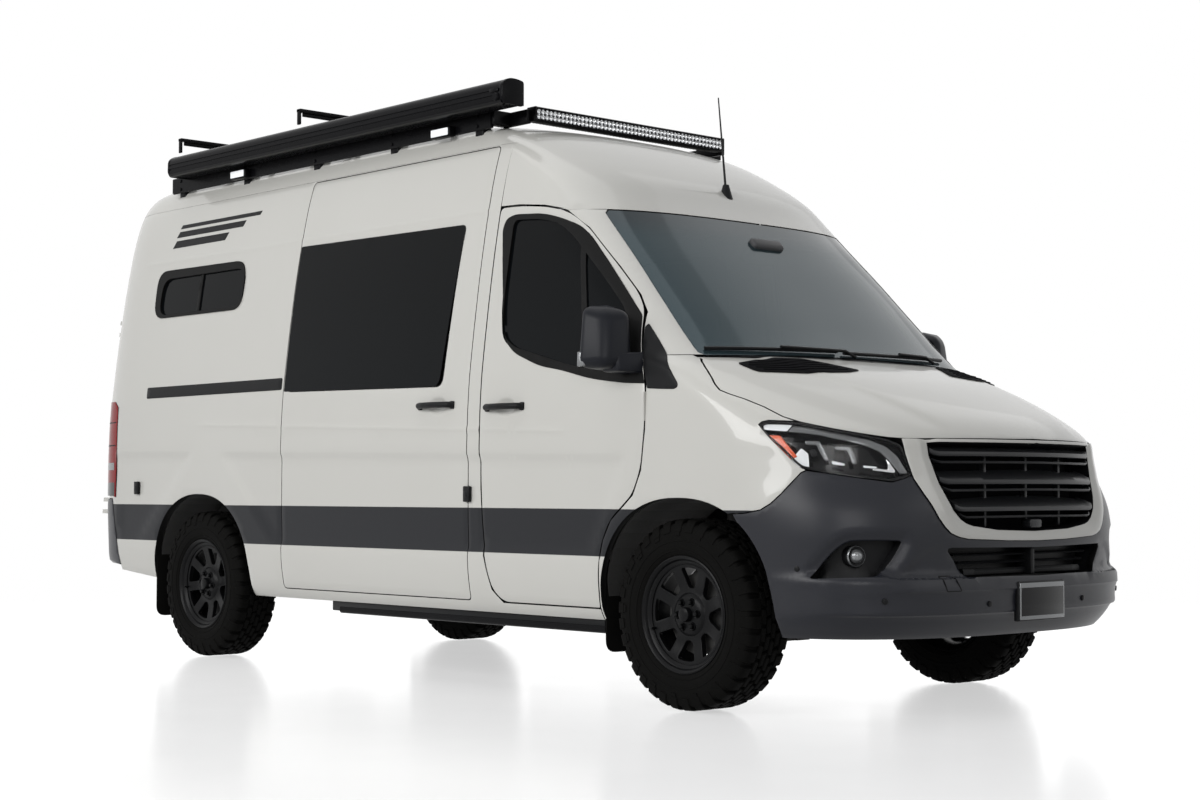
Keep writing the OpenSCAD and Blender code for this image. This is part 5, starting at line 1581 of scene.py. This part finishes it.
# latches and the slide rail's cover
for x, z in ((-1345, 877), (-4312, 907)):
    place, out = onSkin(sideMap, x, z, 0)
    block = roundedBox("latch", (44, 18, 72), place * sideTurn[-1], 5, 2)
    knob = roundedBox("latch", (22, 22, 30), place * sideTurn[-1], 5, 2)
    dressed(joined("latch.%d" % -x, [block, knob]), "trim")
railCover = closed(rounded([(-4242, 1408), (-2884, 1408), (-2884, 1470), (-4242, 1470)], 12), 30)
made = skin("slideRail", sideMap, railCover, steps=(40, 20), depth=-2.0, thick=14.0, edge=3.0, sides=(-1,))
dressed(made, "trim", "body", ["slide_rail"])

# wipers and the sensor housing behind the screen
wiperParts = []
for foot, start, end in (((-60, 1460), (-835, 1472), (-150, 1484)), ((520, 1460), (-110, 1478), (640, 1482))):
    middle = ((start[0] + end[0]) / 2, (start[1] + end[1]) / 2)
    spots = ((foot, -10), ((foot[0] - 60, 1474), -26), (middle, -24))
    line = [onFront(y if abs(y) > 1 else 1, z, d)[0] for (y, z), d in spots]
    wiperParts.append(tubeAlong("wiperArm", line, 7.0))
    ys = np.linspace(start[0], end[0], 18)
    zs = np.linspace(start[1], end[1], 18)
    blade = [onFront(y if abs(y) > 1 else 1, z, -10)[0] for y, z in zip(ys, zs)]
    wiperParts.append(tubeAlong("wiperBlade", blade, 8.0))
dressed(joined("wipers", wiperParts), "trim", "body", ["wipers"])
place, _ = onFront(0.5, 2012, 40)
eyeBox = roundedBox("sensorHousing", (60, 200, 120), place, 18, 3, (0, 45, 0))
dressed(eyeBox, "cabin")

# vents on the bonnet
ventPath = [(806, 1414), (690, 1432), (604, 1436), (445, 1437), (305, 1386), (400, 1374), (508, 1369), (797, 1375)]
ring = tidyRing(mapped(frontOfY, closed(rounded(ventPath, 14), 16)))
plateSkin = skin("bonnetVent", frontMap, ring, steps=(18, 10), depth=-4.0, thick=10.0, edge=1.5, relief=hoodRelief)
ribs = []
for z, y0, y1 in ((1384, 380, 760), (1394, 400, 770), (1404, 420, 780), (1414, 440, 760), (1424, 450, 700)):
    line = []
    for y in np.linspace(y0, y1, 14):
        u = frontOfY(y, z)
        relief = float(hoodRelief(np.array([u]), np.array([z]))[0])
        line.append(onSkin(frontMap, u, z, relief - 4.5)[0])
    ribs.append(bothSides(tubeAlong("ventRib", line, 3.0)))
made = joined("bonnetVent", [plateSkin] + ribs)
dressed(made, "mesh", "hood")
print("trim")

# roof gear
rackSettings = {"rear": -4355, "rails": -1470, "front": -1330, "out": 775, "low": 2600, "high": 2690}
rs = rackSettings
low, high = rs["low"], rs["high"]
# the rail's section: in from its outer face, and height
railShape = [(0, low + 6), (0, high - 6), (6, high), (14, high), (20, high - 6), (20, low + 6), (14, low), (6, low)]
parts = []
for side in (-1, 1):
    profile = [(rs["rear"], side * (rs["out"] - y), z) for y, z in railShape]
    parts.append(extruded("rackRail", profile, (rs["rails"] - rs["rear"], 0, 0)))
    for i in range(5):
        x = rs["rear"] + 90 + i * (rs["front"] - rs["rear"] - 330) / 4
        parts.append(roundedBox("rackFoot", (60, 54, 130), (x, side * 735, 2580), 5))
        for z in (2620, 2668):
            bolt = spun("rackBolt", [(0, 6), (9, 6), (10, 4), (10, 0), (0, 0)], 6)
            parts.append(aimed(bolt, (x, side * rs["out"], z), (0, side, 0)))
    parts.append(roundedBox("rackArm", (180, 28, 66), (-1420, side * 656, 2650), 4))
    parts.append(roundedBox("rackArm", (60, 126, 66), (-1480, side * 706, 2650), 4))
for i in range(8):
    x = rs["rear"] + 40 + i * (rs["front"] - rs["rear"] - 200) / 7
    parts.append(roundedBox("rackBar", (40, 1530, 13), (x, 0, 2682), 4))
dressed(joined("roofRack", parts), "rack", "body", ["roof_rack"])
parts = []
for i in (0, 3):
    x = rs["rear"] + 40 + i * (rs["front"] - rs["rear"] - 200) / 7
    parts.append(roundedBox("loadBar", (36, 1510, 18), (x, 0, 2916), 4))
    parts.append(roundedBox("loadBar", (10, 1440, 36), (x - 12, 0, 2906), 3))
    for side in (-1, 1):
        parts.append(roundedBox("loadEnd", (28, 12, 84), (x, side * 749, 2882), 4))
    for side in (-1, 1):
        parts.append(roundedBox("loadPost", (30, 35, 214), (x, side * 488, 2796), 4))
        parts.append(roundedBox("loadFoot", (60, 80, 10), (x, side * 488, 2694), 3))
dressed(joined("loadBars", parts), "rack", "body", ["load_bars"])
awningLow, awningHigh = [[v * 1000 for v in corner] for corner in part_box("awning")]
x0 = awningLow[0] - axleX
x1 = awningHigh[0] - axleX
yo = awningLow[1]
yi = awningHigh[1]
z0 = awningLow[2]
z1 = awningHigh[2]
case = [(yi, z0 + 6), (yi, z1 - 4), (yi - 8, z1), (yo + 52, z1), (yo + 26, z1 - 5), (yo + 9, z1 - 18),
        (yo + 2, z1 - 36), (yo, z1 - 50), (yo + 4, z1 - 52), (yo + 4, z1 - 57), (yo, z1 - 59), (yo, z1 - 74),
        (yo + 4, z1 - 76), (yo + 4, z1 - 81), (yo + 1, z1 - 83), (yo + 3, z0 + 14), (yo + 10, z0 + 4), (yo + 24, z0),
        (yi - 10, z0)]
body = extruded("awningCase", [(x0 + 14, y, z) for y, z in case], (x1 - x0 - 28, 0, 0))
capPath = rounded([(yi, z0 - 3, 4), (yi, z1 - 4, 14), (yi - 40, z1 + 4, 20), (yo + 40, z1 + 4, 34), (yo, z1 - 22, 30),
                   (yo - 2, z0 + 22, 20), (yo + 14, z0 - 3, 10)], 8)
ends = []
for x, wide in ((x0, 18), (x1 - 26, 26)):
    ends.append(extruded("awningEnd", [(x, y, z) for y, z in capPath], (wide, 0, 0), 5.0))
knob = spun("awningJoint", [(0, 10), (16, 10), (20, 6), (22, -6), (0, -6)], 28)
ends.append(aimed(knob, (x1 - 46, yo - 1, z0 + 30), (0, -1, 0)))
ends.append(roundedBox("awningArm", (62, 12, 18), (x1 - 60, yo, z0 + 62), 4, 2))
parts = [body] + ends
hook = [(x1 - 30, yo + 30, z0 + 4), (x1 - 30, yo + 30, z0 - 16), (x1 - 18, yo + 30, z0 - 22),
        (x1 - 8, yo + 30, z0 - 14)]
parts.append(tubeAlong("awningEye", hook, 4.0))
dressed(joined("awning", parts), "rack", "body", ["awning"])
railPath = [(yo + 3, z0 + 13), (yo - 1, z0 + 12), (yo + 5, z0 + 1), (yo + 16, z0 - 3), (yo + 22, z0)]
rail = extruded("awningRail", [(x0 + 16, y, z) for y, z in railPath], (x1 - x0 - 32, 0, 0))
dressed(rail, "wheel", "body")
barLow, barHigh = [[v * 1000 for v in corner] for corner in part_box("light_bar")]
bx0 = barLow[0] - axleX
bx1 = barHigh[0] - axleX
half = barHigh[1]
bz0 = barLow[2] - 4
bz1 = barHigh[2] + 8
housing = [(bx0, bz0 + 6), (bx0, bz1 - 6), (bx0 + 6, bz1), (bx1 - 8, bz1), (bx1 - 2, bz1 - 4), (bx1 - 2, bz1 - 7),
           (bx1 - 14, bz1 - 9), (bx1 - 14, bz0 + 9), (bx1 - 2, bz0 + 7), (bx1 - 2, bz0 + 4), (bx1 - 8, bz0),
           (bx0 + 6, bz0)]
case = extruded("lightBarCase", [(x, -half + 8, z) for x, z in housing], (0, 2 * half - 16, 0))
parts = [case]
for y in (-half + 6, half - 6):
    parts.append(roundedBox("lightBarEnd", (bx1 - bx0, 12, bz1 - bz0), ((bx0 + bx1) / 2, y, (bz0 + bz1) / 2), 4, 2))
for k in range(60):
    y = -half + 30 + k * (2 * half - 60) / 59
    parts.append(roundedBox("lightFin", (14, 3, bz1 - bz0 - 6), (bx0 - 4, y, (bz0 + bz1) / 2), 0))
dressed(joined("lightBar", parts), "rack", "body", ["light_bar"])
one = spun("led", [(0, -6), (4.5, -5), (8.5, -1), (10.5, 3), (11.2, 3), (11.2, -8)], 20)
cells = []
for row in (-11.5, 11.5):
    for k in range(50):
        y = -half + 26 + k * (2 * half - 52) / 49
        cells.append(aimed(copyOf(one, "led"), (bx1 - 8, y, (bz0 + bz1) / 2 + row), (1, 0, 0)))
bpy.data.objects.remove(one)
dressed(joined("lightCells", cells), "chrome", "body")
lens = roundedBox("lightLens", (3, 2 * half - 26, bz1 - bz0 - 15), (bx1 - 3.5, 0, (bz0 + bz1) / 2), 1, 1)
dressed(lens, "lampGlass", "body")
lightSpots = ((-3606, 2627), (-1809, 2617))
housings = [roundedBox("sceneLight", (150, 40, 52), (x, -794, z), 8, 3) for x, z in lightSpots]
dressed(joined("sceneLights", housings), "rack", "body")
lenses = [roundedBox("sceneLens", (130, 6, 36), (x, -815, z), 5, 3) for x, z in lightSpots]
dressed(joined("sceneLens", lenses), "lampLight", "body")
print("roof gear")

# mudflaps, and dark strips under the sills that paint the shade of the underbody between sill and bar
parts = []
for side in (-1, 1):
    for x, z0, z1, out in ((-474, 208, 600, 955), (rearAxle - 466, 196, 640, 982)):
        ring = rounded([(side * (out - 190), z0, 30), (side * out, z0, 55), (side * out, z1, 5),
                        (side * (out - 190), z1, 5)], 20)
        parts.append(extruded("mudflap", [(x - 4, y, z) for y, z in ring], (8, 0, 0), 2.0))
dressed(joined("mudflaps", parts), "rubber", "body", ["mudflaps"])
# dark strips under the sills: painted shade beneath the van
shadeStrips = [roundedBox("sillShadeStrip", (2000, 16, 50), (-1500, side * 930, 322), 4, 2) for side in (-1, 1)]
dressed(joined("sillShadeStrips", shadeStrips), "trim")

# plain stripes high on the rear of each side
stripeSettings = [(2372, 2394, -4150, -3330), (2322, 2356, -4170, -3480), (2262, 2304, -4190, -3640)]
stripes = []
for low, high, rear, front in stripeSettings:
    lean = (high - low) * 0.7
    ring = closed(rounded([(rear, low), (front, low), (front + lean, high), (rear + lean, high)], 3), 30)
    stripes.append(skin("sideStripe", sideMap, ring, steps=(60, 30), depth=-0.6, thick=1.2, edge=0.0))
dressed(joined("sideStripes", stripes), "trim")
print("flaps")

# cab seats: shaped cushions with side rolls and headrests, on plinths
seatSettings = {
    "y": 460,
    # low and high edge at the back, then at the front: x, distance from the middle, half width, height
    "base": ((-1210, 0, 215, 830), (-1210, 0, 205, 985), (-705, 0, 220, 850), (-705, 0, 205, 1030)),
    "back": ((-1330, 0, 215, 1000), (-1348, 0, 175, 1585), (-1140, 0, 218, 960), (-1230, 0, 180, 1580)),
    "head": ((-1340, 0, 120, 1620), (-1345, 0, 105, 1800), (-1245, 0, 125, 1625), (-1255, 0, 105, 1795)),
    "roll": ((-1290, 190, 30, 1010), (-1310, 160, 26, 1480), (-1085, 200, 30, 1000), (-1190, 165, 26, 1470)),
}


def cushion(label, y, edge, k=1):
    corners = [(x, y + k * away + j * half, z) for x, away, half, z in seatSettings[label] for j in (-1, 1)]
    piece = blockOf("seat" + label.title(), corners, edge, 4)
    addModifier(piece, "SUBSURF", levels=1)
    return piece


seatParts = []
for side in (-1, 1):
    y = side * seatSettings["y"]
    seatParts += [cushion("base", y, 60), cushion("back", y, 60), cushion("head", y, 45)]
    seatParts += [cushion("roll", y, 24, k) for k in (-1, 1)]
seats = joined("cabSeats", seatParts)
fabric = grainFinish("seatFabric", colour(0.020, 0.020, 0.021), colour(0.032, 0.032, 0.033), 0.85, 1600.0, 0.0008,
                     Sheen_Weight=0.3)
finishes["fabric"] = fabric
dressed(seats, "fabric", "body", ["cab_seats"])
bases = []
for side in (-1, 1):
    y = side * seatSettings["y"]
    bases.append(roundedBox("seatPlinth", (480, 400, 140), (-960, y, 760), 12, 2))
    for post in (y - 60, y + 60):
        bases.append(tubeAlong("headPost", [(-1292, post, 1560), (-1292, post, 1640)], 7.0))
dressed(joined("seatPlinths", bases), "cabin")

# finishes of the CAD pieces that stay in sight
nodeFinish = {
    "floor_pan": "under", "chassis_frame": "under", "engine_block": "cast", "radiator": "cast",
    "front_suspension": "under",
    "rear_axle": "under", "drivetrain": "under", "wheel_liners": "under", "dashboard": "cabin",
    "steering_wheel": "cabin",
    "hitch": "rack", "door_hinges": "paint", "knuckle_right": "cast", "knuckle_left": "cast", "antenna": "trim",
    "side_bars": "rack",
}
for label, finish in nodeFinish.items():
    nodes[label].data.materials.clear()
    nodes[label].data.materials.append(finishes[finish])
print("node finishes")

# the room: a pale floor that fades out, a white surround and broad soft lights
floorSettings = {"radius": 60.0, "fadeFrom": 3.6, "fadeTo": 7.6, "base": 0.50, "glow": 0.56}
bpy.ops.mesh.primitive_circle_add(vertices=96, radius=floorSettings["radius"], fill_type="NGON",
                                  location=(0, 0, -0.002))
floor = bpy.context.object
floor.name = "floor"
f = Finish("floorFinish", Specular_IOR_Level=0.35, Emission_Strength=1.0)
across = f.node("ShaderNodeVectorMath", {"operation": "LENGTH"}, {0: f.place()}, out=1)
fade = 1 - f.step(across, floorSettings["fadeFrom"], floorSettings["fadeTo"])
rays = [f.node("ShaderNodeLightPath", out="Is %s Ray" % kind) for kind in ("Camera", "Glossy", "Transmission")]
seen = f.node("ShaderNodeMath", {"operation": "MAXIMUM"}, {0: rays[0], 1: rays[1]})
seen = f.node("ShaderNodeMath", {"operation": "MAXIMUM"}, {0: seen, 1: rays[2]})
grey = floorSettings["base"]
f.feed("Base Color", f.mix(f.noise(0.6), colour(grey, grey, grey), colour(grey + 0.02, grey + 0.02, grey + 0.02)))
glow = floorSettings["glow"]
f.feed("Emission Color", f.mix(seen, colour(0.0, 0.0, 0.0), colour(glow, glow, glow)))
f.feed("Roughness", f.noise(3.0) * 0.05 + 0.16)
f.feed("Alpha", fade)
floor.data.materials.append(f.material)

world = bpy.data.worlds.new("surround")
bpy.context.scene.world = world
world.use_nodes = True
tree = world.node_tree
tree.nodes.clear()
path = tree.nodes.new("ShaderNodeLightPath")
soft = tree.nodes.new("ShaderNodeBackground")
soft.inputs["Color"].default_value = (0.93, 0.96, 1.0, 1.0)
soft.inputs["Strength"].default_value = 0.16
plain = tree.nodes.new("ShaderNodeBackground")
plain.inputs["Color"].default_value = (1.0, 1.0, 1.0, 1.0)
plain.inputs["Strength"].default_value = 1.0
blend = tree.nodes.new("ShaderNodeMixShader")
sink = tree.nodes.new("ShaderNodeOutputWorld")
seenBy = path.outputs["Is Camera Ray"]
for kind in ("Is Glossy Ray", "Is Transmission Ray"):
    either = tree.nodes.new("ShaderNodeMath")
    either.operation = "MAXIMUM"
    tree.links.new(seenBy, either.inputs[0])
    tree.links.new(path.outputs[kind], either.inputs[1])
    seenBy = either.outputs[0]
tree.links.new(seenBy, blend.inputs[0])
tree.links.new(soft.outputs[0], blend.inputs[1])
tree.links.new(plain.outputs[0], blend.inputs[2])
tree.links.new(blend.outputs[0], sink.inputs[0])

lightSettings = [
    ("overhead", (-0.5, -1.5, 9.0), (-0.5, 0.0, 0.0), (10.0, 6.5), 175.0),
    ("rightSide", (0.0, -11.0, 5.0), (-0.5, 0.0, 1.2), (10.0, 4.5), 860.0),
    ("frontRight", (9.5, -7.5, 3.6), (2.0, -0.4, 0.9), (3.6, 2.8), 150.0),
    ("frontFill", (11.0, 2.0, 4.5), (1.0, 0.0, 1.0), (5.0, 3.5), 60.0),
    ("leftSky", (1.5, 9.5, 10.0), (1.0, 0.0, 1.5), (9.0, 8.0), 90.0),
]
for label, place, target, size, power in lightSettings:
    lamp = bpy.data.lights.new(label, "AREA")
    lamp.shape = "RECTANGLE"
    lamp.size = size[0]
    lamp.size_y = size[1]
    lamp.energy = power
    holder = bpy.data.objects.new(label, lamp)
    holder.location = place
    way = Vector(target) - Vector(place)
    holder.rotation_mode = "QUATERNION"
    holder.rotation_quaternion = way.to_track_quat("-Z", "Y")
    bpy.context.collection.objects.link(holder)

cameraSettings = {"place": (7.62799, -6.68693, 0.89404), "azimuth": 47.38, "elevation": -2.60, "lens": 59.605}
eye = bpy.data.cameras.new("camera")
eye.lens = cameraSettings["lens"]
eye.sensor_width = 36.0
eye.clip_end = 400.0
viewer = bpy.data.objects.new("camera", eye)
bpy.context.collection.objects.link(viewer)
viewer.location = cameraSettings["place"]
a = math.radians(cameraSettings["azimuth"])
e = math.radians(cameraSettings["elevation"])
back = Vector((math.sin(a) * math.cos(e), -math.cos(a) * math.cos(e), math.sin(e)))
viewer.rotation_mode = "QUATERNION"
viewer.rotation_quaternion = (-back).to_track_quat("-Z", "Y")
bpy.context.scene.camera = viewer
bpy.context.scene.view_settings.view_transform = "Standard"
print("room")
